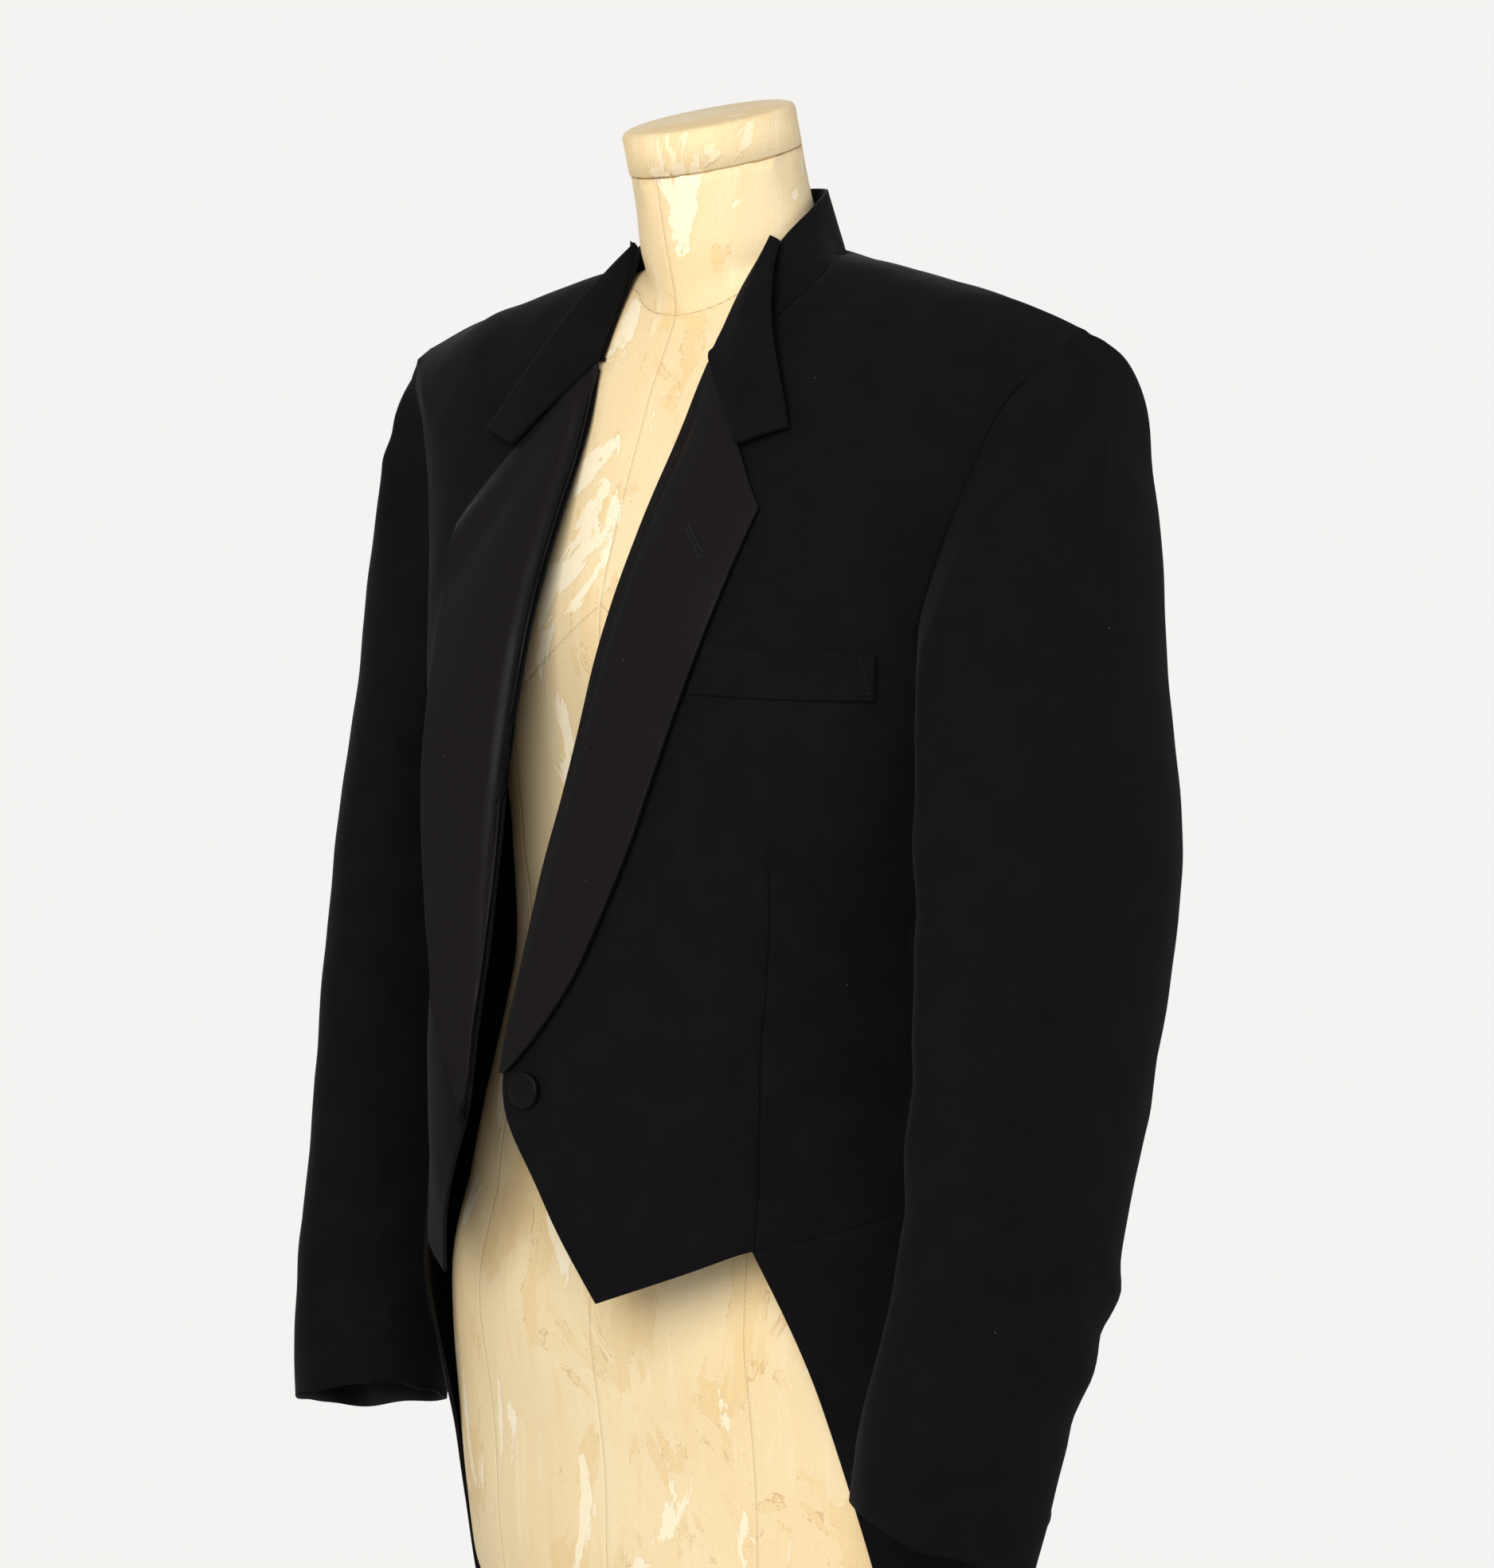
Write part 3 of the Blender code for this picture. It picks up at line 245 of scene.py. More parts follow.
# The waist dart of the foreparts, from its top to the hem: height and distance from the middle
DART = ((0.9540, 0.1378), (0.9811, 0.1388), (1.0632, 0.1377), (1.1469, 0.1380))

# The buttonhole, as two points on the left lapel
BUTTONHOLE = ((0.0699, -0.1099, 1.3219), (0.0851, -0.1148, 1.3063))

# The camera as fitted to the photograph
CAMERA_TURN = 44.26
CAMERA_DISTANCE = 2.300
CAMERA_HEIGHT = 1.323
CAMERA_DOWN = 3.53
CAMERA_ROLL = 0.99
CAMERA_ASIDE = 0.004
CAMERA_LENS = 5204 / 1876 * 36


def colour_setting(name, description, default):
    """One colour that a user would change."""
    return bpy.props.FloatVectorProperty(
        name=name, description=description, subtype="COLOR", size=4, min=0, max=1, default=default
    )


def length_setting(name, description, default):
    """One length that a user would change."""
    return bpy.props.FloatProperty(
        name=name, description=description, default=default, min=0, subtype="DISTANCE", unit="LENGTH", precision=4
    )


def number_setting(name, description, default):
    """One strength or power that a user would change."""
    return bpy.props.FloatProperty(name=name, description=description, default=default, min=0)


class CoatSettings(bpy.types.PropertyGroup):
    """Cloth and colours of the coat."""

    wool: colour_setting("Wool", "Colour of the worsted wool", (0.0024, 0.0021, 0.0027, 1))
    wool_light: colour_setting("Wool light", "Colour of the wool's lighter yarns", (0.0068, 0.0061, 0.0071, 1))
    satin: colour_setting("Satin", "Colour of the lapels' satin", (0.0050, 0.0042, 0.0040, 1))
    button: colour_setting("Button", "Colour of the buttons' satin", (0.0010, 0.0009, 0.0010, 1))
    lining: colour_setting("Lining", "Colour of the lining", (0.0040, 0.0038, 0.0045, 1))
    thread: colour_setting("Thread", "Colour of the sewing thread", (0.0150, 0.0140, 0.0150, 1))
    wool_thickness: length_setting("Wool thickness", "Thickness of the wool with its lining", 0.0019)
    satin_thickness: length_setting("Satin thickness", "Thickness of the lapels with their canvas", 0.0022)
    fold_depth: bpy.props.FloatProperty(
        name="Fold depth", description="Share of the folds' full depth", default=1.0, min=0, max=2, subtype="FACTOR"
    )


class FormSettings(bpy.types.PropertyGroup):
    """Colours of the dress form and its stand."""

    paper: colour_setting("Paper", "Colour of the aged paper", (0.750, 0.625, 0.395, 1))
    pale_paper: colour_setting("Pale paper", "Colour where the top layer is torn away", (0.830, 0.745, 0.565, 1))
    stain: colour_setting("Stain", "Colour of the water stains", (0.660, 0.420, 0.140, 1))
    steel: colour_setting("Steel", "Colour of the pole", (0.420, 0.420, 0.430, 1))
    iron: colour_setting("Iron", "Colour of the base", (0.030, 0.030, 0.032, 1))


class StageSettings(bpy.types.PropertyGroup):
    """Floor, lights and background."""

    floor: colour_setting("Floor", "Colour of the floor", (0.860, 0.850, 0.830, 1))
    backdrop: colour_setting("Background", "Colour behind the object", (0.905, 0.895, 0.880, 1))
    floor_radius: length_setting("Floor radius", "Radius of the floor", 2.3)
    surround: number_setting("Surrounding light", "Strength of the soft light", 0.46)
    key_power: number_setting("Main light", "Power of the large soft light in watts", 46)


# Shader helpers


def fill(tree, sockets, values):
    """Links sockets to the values that come from nodes, and sets the others."""
    for name, value in values.items():
        if isinstance(value, bpy.types.NodeSocket):
            tree.links.new(value, sockets[name])
        else:
            sockets[name].default_value = value


def place(tree, kind, inputs=None, **settings):
    """Adds a shader node, and fills or links its inputs."""
    made = tree.nodes.new(kind)
    for name, value in settings.items():
        setattr(made, name, value)
    fill(tree, made.inputs, inputs or {})
    return made


def reckon(tree, operation, *values):
    """One arithmetic step."""
    return place(tree, "ShaderNodeMath", dict(enumerate(values)), operation=operation).outputs[0]


def times(tree, one, other):
    """The product of two values."""
    return reckon(tree, "MULTIPLY", one, other)


def stretch(tree, value, low, high, start=0.0, end=1.0):
    """Maps a value softly from one range to another."""
    inputs = {"Value": value, "From Min": low, "From Max": high, "To Min": start, "To Max": end}
    return place(tree, "ShaderNodeMapRange", inputs, interpolation_type="SMOOTHSTEP").outputs["Result"]


def tint(tree, share, under, over, mode="MIX"):
    """Mixes two colours."""
    made = place(tree, "ShaderNodeMix", {0: share, 6: under, 7: over}, data_type="RGBA", blend_type=mode)
    return made.outputs[2]


def scaled(tree, vector, scale, shift=(0, 0, 0)):
    """A pattern's own scale along each axis."""
    return place(tree, "ShaderNodeMapping", {"Vector": vector, "Scale": scale, "Location": shift}).outputs["Vector"]


def noise(tree, vector, scale, detail=3.0, rough=0.5, bend=0.0):
    """A cloudy value from 0 to 1."""
    inputs = {"Vector": vector, "Scale": scale, "Detail": detail, "Roughness": rough, "Distortion": bend}
    return place(tree, "ShaderNodeTexNoise", inputs).outputs["Fac"]


def own_space(tree):
    """Places on the piece in metres."""
    return place(tree, "ShaderNodeTexCoord").outputs["Object"]


def pattern_space(tree):
    """The piece's flat pattern in metres."""
    return place(tree, "ShaderNodeUVMap", uv_map="cut").outputs["UV"]


def split(tree, vector):
    """The three parts of a vector."""
    return place(tree, "ShaderNodeSeparateXYZ", {0: vector}).outputs


def rim_of(tree, value, level, width):
    """A thin band where a cloudy value passes a level."""
    return stretch(tree, reckon(tree, "ABSOLUTE", reckon(tree, "SUBTRACT", value, level)), 0.0, width, 1.0, 0.0)


def dots(tree, vector, scale, radius, rarity):
    """Round specks in a few of a pattern's cells."""
    cells = place(tree, "ShaderNodeTexVoronoi", {"Vector": vector, "Scale": scale}).outputs
    pick = place(tree, "ShaderNodeSeparateColor", {0: cells["Color"]}).outputs["Red"]
    near = reckon(tree, "LESS_THAN", cells["Distance"], radius)
    return times(tree, near, reckon(tree, "GREATER_THAN", pick, rarity))


def bumped(tree, height, strength):
    """Surface relief from a height in metres."""
    return place(tree, "ShaderNodeBump", {"Height": height, "Distance": 1.0, "Strength": strength}).outputs["Normal"]


def new_group(name, inputs, outputs):
    """Starts a shader node group with named sockets, and returns it with what it is given and what it gives."""
    tree = bpy.data.node_groups.new(name, "ShaderNodeTree")
    for way, sockets in (("INPUT", inputs), ("OUTPUT", outputs)):
        for socket, kind in sockets.items():
            tree.interface.new_socket(socket, in_out=way, socket_type="NodeSocket" + kind)
    return tree, tree.nodes.new("NodeGroupInput").outputs, tree.nodes.new("NodeGroupOutput").inputs


def use_group(tree, name, inputs):
    """Places a shared node group, and returns what it gives."""
    return place(tree, "ShaderNodeGroup", inputs, node_tree=bpy.data.node_groups[name]).outputs


def make_twill():
    """Fine diagonal ribs of worsted wool, with its nap."""
    tree, given, made = new_group(
        "Worsted twill", {"Vector": "Vector", "Pitch": "Float", "Yarn": "Color", "Light yarn": "Color"},
        {"Color": "Color", "Height": "Float"},
    )
    across, along, _ = split(tree, given["Vector"])
    turns = reckon(tree, "DIVIDE", 2 * math.pi, given["Pitch"])
    rib = reckon(tree, "SINE", times(tree, reckon(tree, "ADD", across, along), times(tree, turns, 0.5)))
    weft = reckon(tree, "SINE", times(tree, along, turns))
    warp = reckon(tree, "SINE", times(tree, across, turns))
    nap = noise(tree, given["Vector"], 1400, 2.0, 0.6)
    cloud = noise(tree, given["Vector"], 38, 3.0, 0.55)
    height = reckon(tree, "MULTIPLY_ADD", rib, 0.22, times(tree, times(tree, weft, warp), 0.13))
    speck = stretch(tree, reckon(tree, "MULTIPLY_ADD", rib, 0.10, nap), 0.38, 0.66)
    share = times(tree, speck, stretch(tree, cloud, 0.30, 0.72, 0.40, 0.95))
    fill(tree, made, {
        "Color": tint(tree, share, given["Yarn"], given["Light yarn"]),
        "Height": reckon(tree, "MULTIPLY_ADD", nap, 0.7, height),
    })


def make_satin():
    """Long floats of satin, as fine streaks along the cloth."""
    tree, given, made = new_group(
        "Satin floats", {"Vector": "Vector", "Color": "Color"},
        {"Color": "Color", "Height": "Float", "Roughness": "Float"},
    )
    floats = noise(tree, scaled(tree, given["Vector"], (2600, 190, 1)), 1.0, 2.0, 0.55)
    cloud = noise(tree, given["Vector"], 30, 3.0, 0.5)
    lighter = tint(tree, 1.0, given["Color"], (1.5, 1.48, 1.46, 1), "MULTIPLY")
    fill(tree, made, {
        "Color": tint(tree, stretch(tree, floats, 0.35, 0.70, 0.0, 0.75), given["Color"], lighter),
        "Height": floats,
        "Roughness": stretch(tree, cloud, 0.25, 0.75, 0.42, 0.54),
    })


def make_lint():
    """Sparse pale specks of lint."""
    tree, given, made = new_group("Lint", {"Vector": "Vector"}, {"Mask": "Float"})
    fill(tree, made, {"Mask": dots(tree, given["Vector"], 75.0, 0.030, 0.90)})


def make_seam_line():
    """A thin line where a signed distance is zero, and the groove that it lies in."""
    tree, given, made = new_group(
        "Seam line", {"Distance": "Float", "Width": "Float"}, {"Line": "Float", "Groove": "Float"}
    )
    gap = reckon(tree, "ABSOLUTE", given["Distance"])
    fill(tree, made, {
        "Line": stretch(tree, gap, 0.0, given["Width"], 1.0, 0.0),
        "Groove": stretch(tree, gap, 0.0, times(tree, given["Width"], 4.0)),
    })


def make_aged_paper():
    """Cream paper with water stains, tide marks, torn pale patches, drips and grain."""
    tree, given, made = new_group(
        "Aged paper", {"Vector": "Vector", "Paper": "Color", "Pale": "Color", "Stain": "Color", "Wear": "Float"},
        {"Color": "Color", "Roughness": "Float", "Height": "Float"},
    )
    spot, paper, pale, stain, wear = (given[name] for name in ("Vector", "Paper", "Pale", "Stain", "Wear"))
    broad = noise(tree, scaled(tree, spot, (7, 7, 3.2)), 1.0, 4.0, 0.55, 0.4)
    base = tint(tree, stretch(tree, broad, 0.32, 0.68, 0.0, 0.30), paper, stain)
    # Amber blots, each with a darker tide mark round it
    blot = noise(tree, scaled(tree, spot, (17, 17, 8.5), (3, 1, 2)), 1.0, 5.0, 0.58, 1.1)
    base = tint(tree, times(tree, stretch(tree, blot, 0.535, 0.575), times(tree, wear, 0.30)), base, stain)
    broken = stretch(tree, noise(tree, spot, 46, 2.0), 0.40, 0.62)
    rim = times(tree, times(tree, rim_of(tree, blot, 0.545, 0.0075), broken), times(tree, wear, 0.55))
    base = tint(tree, rim, base, tint(tree, 1.0, stain, (0.72, 0.60, 0.45, 1), "MULTIPLY"))
    # Pale patches with torn edges, longer down than across
    torn = noise(tree, scaled(tree, spot, (24, 24, 8.0), (0, 5, 1)), 1.0, 7.0, 0.62, 0.9)
    base = tint(tree, times(tree, stretch(tree, torn, 0.585, 0.600), times(tree, wear, 0.78)), base, pale)
    base = tint(tree, times(tree, rim_of(tree, torn, 0.588, 0.006), times(tree, wear, 0.30)), base, stain)
    # Drips and faint streaks down the paper
    drip = noise(tree, scaled(tree, spot, (95, 95, 5.0)), 1.0, 3.0, 0.55, 0.25)
    base = tint(tree, stretch(tree, drip, 0.56, 0.74, 0.0, 0.20), base, stain)
    base = tint(tree, stretch(tree, drip, 0.44, 0.26, 0.0, 0.28), base, pale)
    # Small brown specks and paper grain
    base = tint(tree, times(tree, dots(tree, spot, 170.0, 0.09, 0.93), 0.35), base, (0.30, 0.17, 0.06, 1))
    grain = noise(tree, spot, 620, 3.0, 0.6)
    shade = tint(tree, stretch(tree, grain, 0.3, 0.7), (0.965, 0.960, 0.950, 1), (1.02, 1.02, 1.02, 1))
    height = reckon(tree, "MULTIPLY_ADD", grain, 0.25, times(tree, stretch(tree, torn, 0.58, 0.605), -0.5))
    fill(tree, made, {
        "Color": tint(tree, 1.0, base, shade, "MULTIPLY"),
        "Roughness": stretch(tree, torn, 0.585, 0.600, 0.62, 0.80),
        "Height": reckon(tree, "MULTIPLY_ADD", broad, 0.8, height),
    })


# Finishes, each as what goes into the shader's sockets


def with_lint(tree, colour, share):
    """A cloth's colour with pale specks on it."""
    lint = use_group(tree, "Lint", {"Vector": own_space(tree)})["Mask"]
    return tint(tree, times(tree, lint, share), colour, (0.25, 0.24, 0.23, 1))


def wool_look(tree, settings, dart):
    """Fine black worsted, with a nap that catches light at a low angle."""
    yarns = {"Yarn": settings.wool, "Light yarn": settings.wool_light}
    cloth = use_group(tree, "Worsted twill", {"Vector": pattern_space(tree), "Pitch": 0.0007, **yarns})
    colour = with_lint(tree, cloth["Color"], 0.25)
    height = times(tree, cloth["Height"], 0.00022)
    if dart:
        gap = place(tree, "ShaderNodeAttribute", attribute_name="dart").outputs["Fac"]
        line = use_group(tree, "Seam line", {"Distance": gap, "Width": 0.00055})
        colour = tint(tree, times(tree, line["Line"], 0.92), colour, (0.0006, 0.0006, 0.0007, 1))
        height = reckon(tree, "MULTIPLY_ADD", line["Groove"], 0.0005, height)
    return {
        "Base Color": colour, "Roughness": 0.88, "Specular IOR Level": 0.055, "Sheen Weight": 0.02,
        "Sheen Roughness": 0.42, "Sheen Tint": (0.90, 0.92, 1.0, 1), "Normal": bumped(tree, height, 0.75),
    }


def satin_look(tree, settings, colour, shine):
    """Soft black satin with a warm tone."""
    cloth = use_group(tree, "Satin floats", {"Vector": pattern_space(tree), "Color": getattr(settings, colour)})
    return {
        "Base Color": with_lint(tree, cloth["Color"], 0.2), "Roughness": cloth["Roughness"],
        "Specular IOR Level": shine, "Sheen Weight": 0.01, "Sheen Roughness": 0.3, "Sheen Tint": (1.0, 0.95, 0.90, 1),
        "Normal": bumped(tree, times(tree, cloth["Height"], 0.00005), 0.6),
    }


def lining_look(tree, settings):
    """Smooth black lining on the inside of the cloth."""
    cloth = use_group(tree, "Satin floats", {"Vector": pattern_space(tree), "Color": settings.lining})
    return {
        "Base Color": cloth["Color"], "Roughness": cloth["Roughness"], "Specular IOR Level": 0.16,
        "Normal": bumped(tree, times(tree, cloth["Height"], 0.00004), 0.5),
    }


def thread_look(tree, settings):
    """Twisted sewing thread."""
    twist = noise(tree, own_space(tree), 3200, 2.0)
    dark = tint(tree, 1.0, settings.thread, (0.5, 0.5, 0.5, 1), "MULTIPLY")
    return {
        "Base Color": tint(tree, twist, settings.thread, dark), "Roughness": 0.55, "Specular IOR Level": 0.2,
        "Normal": bumped(tree, times(tree, twist, 0.0001), 0.5),
    }


def paper_look(tree, settings, wear, seams):
    """Aged paper over linen, with the form's stitched seams where it has them."""
    spot = own_space(tree)
    colours = {"Paper": settings.paper, "Pale": settings.pale_paper, "Stain": settings.stain}
    paper = use_group(tree, "Aged paper", {"Vector": spot, "Wear": wear, **colours})
    colour = paper["Color"]
    height = times(tree, paper["Height"], 0.0005)
    if seams:
        centre, _, up = split(tree, spot)
        marks = place(tree, "ShaderNodeAttribute", attribute_name="seams").outputs["Vector"]
        stitch = stretch(tree, reckon(tree, "SINE", times(tree, up, 2900)), -0.2, 0.4, 0.45, 1.0)
        for distance in (centre, *split(tree, marks)):
            line = use_group(tree, "Seam line", {"Distance": distance, "Width": 0.0005})
            share = times(tree, times(tree, line["Line"], stitch), 0.62)
            colour = tint(tree, share, colour, (0.22, 0.14, 0.06, 1))
            height = reckon(tree, "MULTIPLY_ADD", line["Groove"], 0.0004, height)
    return {
        "Base Color": colour, "Roughness": paper["Roughness"], "Specular IOR Level": 0.28,
        "Normal": bumped(tree, height, 0.7),
    }


def steel_look(tree, settings):
    """Brushed steel, with its marks round the pole."""
    spot = own_space(tree)
    brush = noise(tree, scaled(tree, spot, (30, 30, 1500)), 1.0, 3.0, 0.6)
    smear = stretch(tree, noise(tree, spot, 14, 3.0), 0.4, 0.7, 0.0, 0.10)
    return {
        "Base Color": tint(tree, stretch(tree, brush, 0.3, 0.7), settings.steel, (0.58, 0.58, 0.58, 1)),
        "Metallic": 1.0, "Roughness": reckon(tree, "ADD", stretch(tree, brush, 0.3, 0.7, 0.26, 0.40), smear),
        "Normal": bumped(tree, times(tree, brush, 0.00004), 0.5),
    }


def iron_look(tree, settings):
    """Cast iron under satin black paint, dusty in places."""
    spot = own_space(tree)
    cast = noise(tree, spot, 240, 5.0, 0.6)
    dust = noise(tree, spot, 9, 4.0, 0.6)
    return {
        "Base Color": tint(tree, stretch(tree, dust, 0.45, 0.75, 0.0, 0.35), settings.iron, (0.10, 0.095, 0.09, 1)),
        "Roughness": stretch(tree, dust, 0.3, 0.7, 0.38, 0.58), "Specular IOR Level": 0.45,
        "Normal": bumped(tree, times(tree, cast, 0.0004), 0.5),
    }


def floor_look(tree, stage):
    """Pale matt floor that fades out towards its rim."""
    spot = own_space(tree)
    out = place(tree, "ShaderNodeVectorMath", {0: spot}, operation="LENGTH").outputs["Value"]
    mottle = stretch(tree, noise(tree, spot, 5, 3.0), 0.3, 0.7, 0.0, 0.06)
    radius = stage.floor_radius
    return {
        "Base Color": tint(tree, mottle, stage.floor, (0.70, 0.69, 0.67, 1)), "Roughness": 0.7,
        "Specular IOR Level": 0.2, "Alpha": stretch(tree, out, radius * 0.55, radius * 0.98, 1.0, 0.0),
    }


GROUPS = {
    "Worsted twill": make_twill, "Satin floats": make_satin, "Lint": make_lint, "Seam line": make_seam_line,
    "Aged paper": make_aged_paper,
}
# Each finish: what makes it, the settings that it reads, and what else it is told
LOOKS = {
    "Black worsted": (wool_look, "tailcoat", False),
    "Black worsted with dart": (wool_look, "tailcoat", True),
    "Black satin": (satin_look, "tailcoat", "satin", 0.085),
    "Button satin": (satin_look, "tailcoat", "button", 0.13),
    "Black lining": (lining_look, "tailcoat"),
    "Sewing thread": (thread_look, "tailcoat"),
    "Aged paper torso": (paper_look, "dress_form", 1.0, True),
    "Aged paper cap": (paper_look, "dress_form", 0.6, False),
    "Brushed steel": (steel_look, "dress_form"),
    "Painted iron": (iron_look, "dress_form"),
    "Pale floor": (floor_look, "tailcoat_stage"),
}


def material_named(name):
    """A finish by its name, made the first time that it is asked for."""
    if name in bpy.data.materials:
        return bpy.data.materials[name]
    for group, maker in GROUPS.items():
        if group not in bpy.data.node_groups:
            maker()
    look, settings, *told = LOOKS[name]
    material = bpy.data.materials.new(name)
    material.use_nodes = True
    tree = material.node_tree
    values = look(tree, getattr(bpy.context.scene, settings), *told)
    fill(tree, tree.nodes["Principled BSDF"].inputs, values)
    return material


# Mesh helpers


def read(rows, key, parts=3, kind=float):
    """One value of every row of a mesh's collection, as an array."""
    values = np.zeros(len(rows) * parts, dtype=kind)
    rows.foreach_get(key, values)
    return values.reshape(-1, parts)


def points_of(mesh):
    """Vertex places as an array."""
    return read(mesh.vertices, "co")


def normals_of(mesh):
    """Vertex normals as an array."""
    return read(mesh.vertex_normals, "vector")


def move_points(mesh, spots):
    """Writes vertex places back."""
    mesh.vertices.foreach_set("co", np.ascontiguousarray(spots, dtype=float).ravel())
    mesh.update()


def mark(mesh, name, values):
    """Stores a number or a vector at each vertex for the material."""
    values = np.asarray(values, dtype=float)
    kind, key = ("FLOAT", "value") if values.ndim == 1 else ("FLOAT_VECTOR", "vector")
    mesh.attributes.new(name, kind, "POINT").data.foreach_set(key, values.ravel())


def smooth_regions(bm):
    """Groups of faces that meet without a sharp edge, largest first."""
    left = set(bm.faces)
    regions = []
    while left:
        todo = [left.pop()]
        region = []
        while todo:
            face = todo.pop()
            region.append(face)
            for edge in face.edges:
                if len(edge.link_faces) == 2 and edge.calc_face_angle(0) < math.radians(FOLD_ANGLE):
                    for other in edge.link_faces:
                        if other in left:
                            left.remove(other)
                            todo.append(other)
        regions.append(region)
    return sorted(regions, key=lambda region: -sum(face.calc_area() for face in region))


def merged(node):
    """A bmesh of a CAD solid, with its loose triangles joined up."""
    bm = bmesh.new()
    bm.from_mesh(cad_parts[node].data)
    bmesh.ops.remove_doubles(bm, verts=bm.verts, dist=WELD)
    return bm


def make_quads(bm):
    """Joins pairs of triangles back to four-sided faces."""
    bmesh.ops.join_triangles(
        bm, faces=bm.faces, angle_face_threshold=math.radians(60), angle_shape_threshold=math.radians(90),
        topology_influence=1.0,
    )


def outer_layer(node, faces):
    """The side of a CAD cloth solid that looks the given way, as an open mesh of mostly four-sided faces."""
    bm = merged(node)
    way = Vector(faces)
    sides = smooth_regions(bm)[:2]
    kept = set(max(sides, key=lambda side: sum(face.normal.dot(way) * face.calc_area() for face in side)))
    bmesh.ops.delete(bm, geom=[face for face in bm.faces if face not in kept], context="FACES")
    make_quads(bm)
    return bm


def keep_corners(bm):
    """Holds the corners of a sheet sharp when its grid is halved."""
    layer = bm.verts.layers.float.new("crease_vert")
    for vert in bm.verts:
        rim = [edge for edge in vert.link_edges if edge.is_boundary]
        if len(rim) == 2:
            ways = [(edge.other_vert(vert).co - vert.co).normalized() for edge in rim]
            if math.degrees(math.pi - ways[0].angle(ways[1], math.pi)) > CORNER_ANGLE:
                vert[layer] = 1.0


def add_piece(bm, name):
    """A new object from a bmesh."""
    mesh = bpy.data.meshes.new(name)
    bm.to_mesh(mesh)
    bm.free()
    piece = bpy.data.objects.new(name, mesh)
    bpy.context.scene.collection.objects.link(piece)
    return piece


def halve(piece, levels):
    """Halves the grid with a subdivision surface that still passes through the grid's own points."""

    def halved():
        return bpy.data.meshes.new_from_object(piece.evaluated_get(bpy.context.evaluated_depsgraph_get()))

    modifier = piece.modifiers.new("Smooth", "SUBSURF")
    modifier.levels = modifier.render_levels = levels
    modifier.boundary_smooth = "PRESERVE_CORNERS"
    wanted = points_of(piece.data)
    spots = wanted.copy()
    for _ in range(FITTING_ROUNDS):
        finer = halved()
        spots += wanted - points_of(finer)[:len(wanted)]
        bpy.data.meshes.remove(finer)
        move_points(piece.data, spots)
        bpy.context.view_layer.update()
    finer = halved()
    piece.modifiers.clear()
    old = piece.data
    piece.data = finer
    bpy.data.meshes.remove(old)
    finer.name = piece.name


def border(mesh):
    """The edges of a sheet that only one face uses."""
    uses = {}
    for face in mesh.polygons:
        for pair in face.edge_keys:
            uses[pair] = uses.get(pair, 0) + 1
    return np.array([pair for pair, count in uses.items() if count == 1])


def joined_points(mesh):
    """Both ends of every edge, how many edges each point has, and the points of the border."""
    pairs = read(mesh.edges, "vertices", 2, int)
    uses = np.bincount(pairs.ravel(), minlength=len(mesh.vertices))
    return *pairs.T, uses, np.unique(border(mesh))


def beside(spots, one, other, uses):
    """The middle of each point's neighbours."""
    sums = [
        np.bincount(one, spots[other, axis], len(spots)) + np.bincount(other, spots[one, axis], len(spots))
        for axis in range(3)
    ]
    return np.stack(sums, axis=1) / uses[:, None]


def ease(mesh):
    """Evens out a sheet between its borders without shrinking it, as pressed cloth lies."""
    spots = points_of(mesh)
    one, other, uses, held = joined_points(mesh)
    for _ in range(EASE_ROUNDS):
        for share in EASE_SHARES:
            step = (beside(spots, one, other, uses) - spots) * share
            step[held] = 0
            spots += step
    move_points(mesh, spots)


def soften_armhole(mesh):
    """Rounds the cloth over beside the upper armhole."""
    spots = points_of(mesh)
    path = np.array(ARMHOLE)
    steps = np.linspace(0, len(path) - 1, ARMHOLE_STEPS)
    path = np.stack([np.interp(steps, np.arange(len(path)), path[:, axis]) for axis in range(3)], axis=1)
    here = np.column_stack([np.abs(spots[:, 0]), spots[:, 1:]])
    gap = np.min([np.linalg.norm(here - point, axis=1) for point in path], axis=0)
    share = 1 - np.clip((gap - SOFT_NEAR) / (SOFT_FAR - SOFT_NEAR), 0, 1)
    share = share * share * (3 - 2 * share) * SOFT_SHARE
    one, other, uses, held = joined_points(mesh)
    share[held] = 0
    for _ in range(SOFT_ROUNDS):
        spots += (beside(spots, one, other, uses) - spots) * share[:, None]
    move_points(mesh, spots)


def roll_line(side):
    """The line along which a lapel turns over, from its foot to the neck, as a smooth curve through its inner edge."""
    spots = points_of(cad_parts["lapel_" + side].data)
    edge = []
    for height in np.linspace(spots[:, 2].min(), spots[:, 2].max(), ROLL_ROWS):
        near = spots[np.abs(spots[:, 2] - height) < ROLL_BAND]
        if len(near):
            edge.extend(near[np.abs(near[:, 0]) < np.abs(near[:, 0]).min() + ROLL_EDGE])
    edge = np.array(edge)
    heights = np.linspace(edge[:, 2].min(), edge[:, 2].max(), ROLL_ROWS)
    middle = edge[:, 2].mean()
    curve = [
        np.polyval(np.polyfit(edge[:, 2] - middle, edge[:, axis], ROLL_DEGREE), heights - middle) for axis in (0, 1)
    ]
    return np.stack([*curve, heights], axis=1)


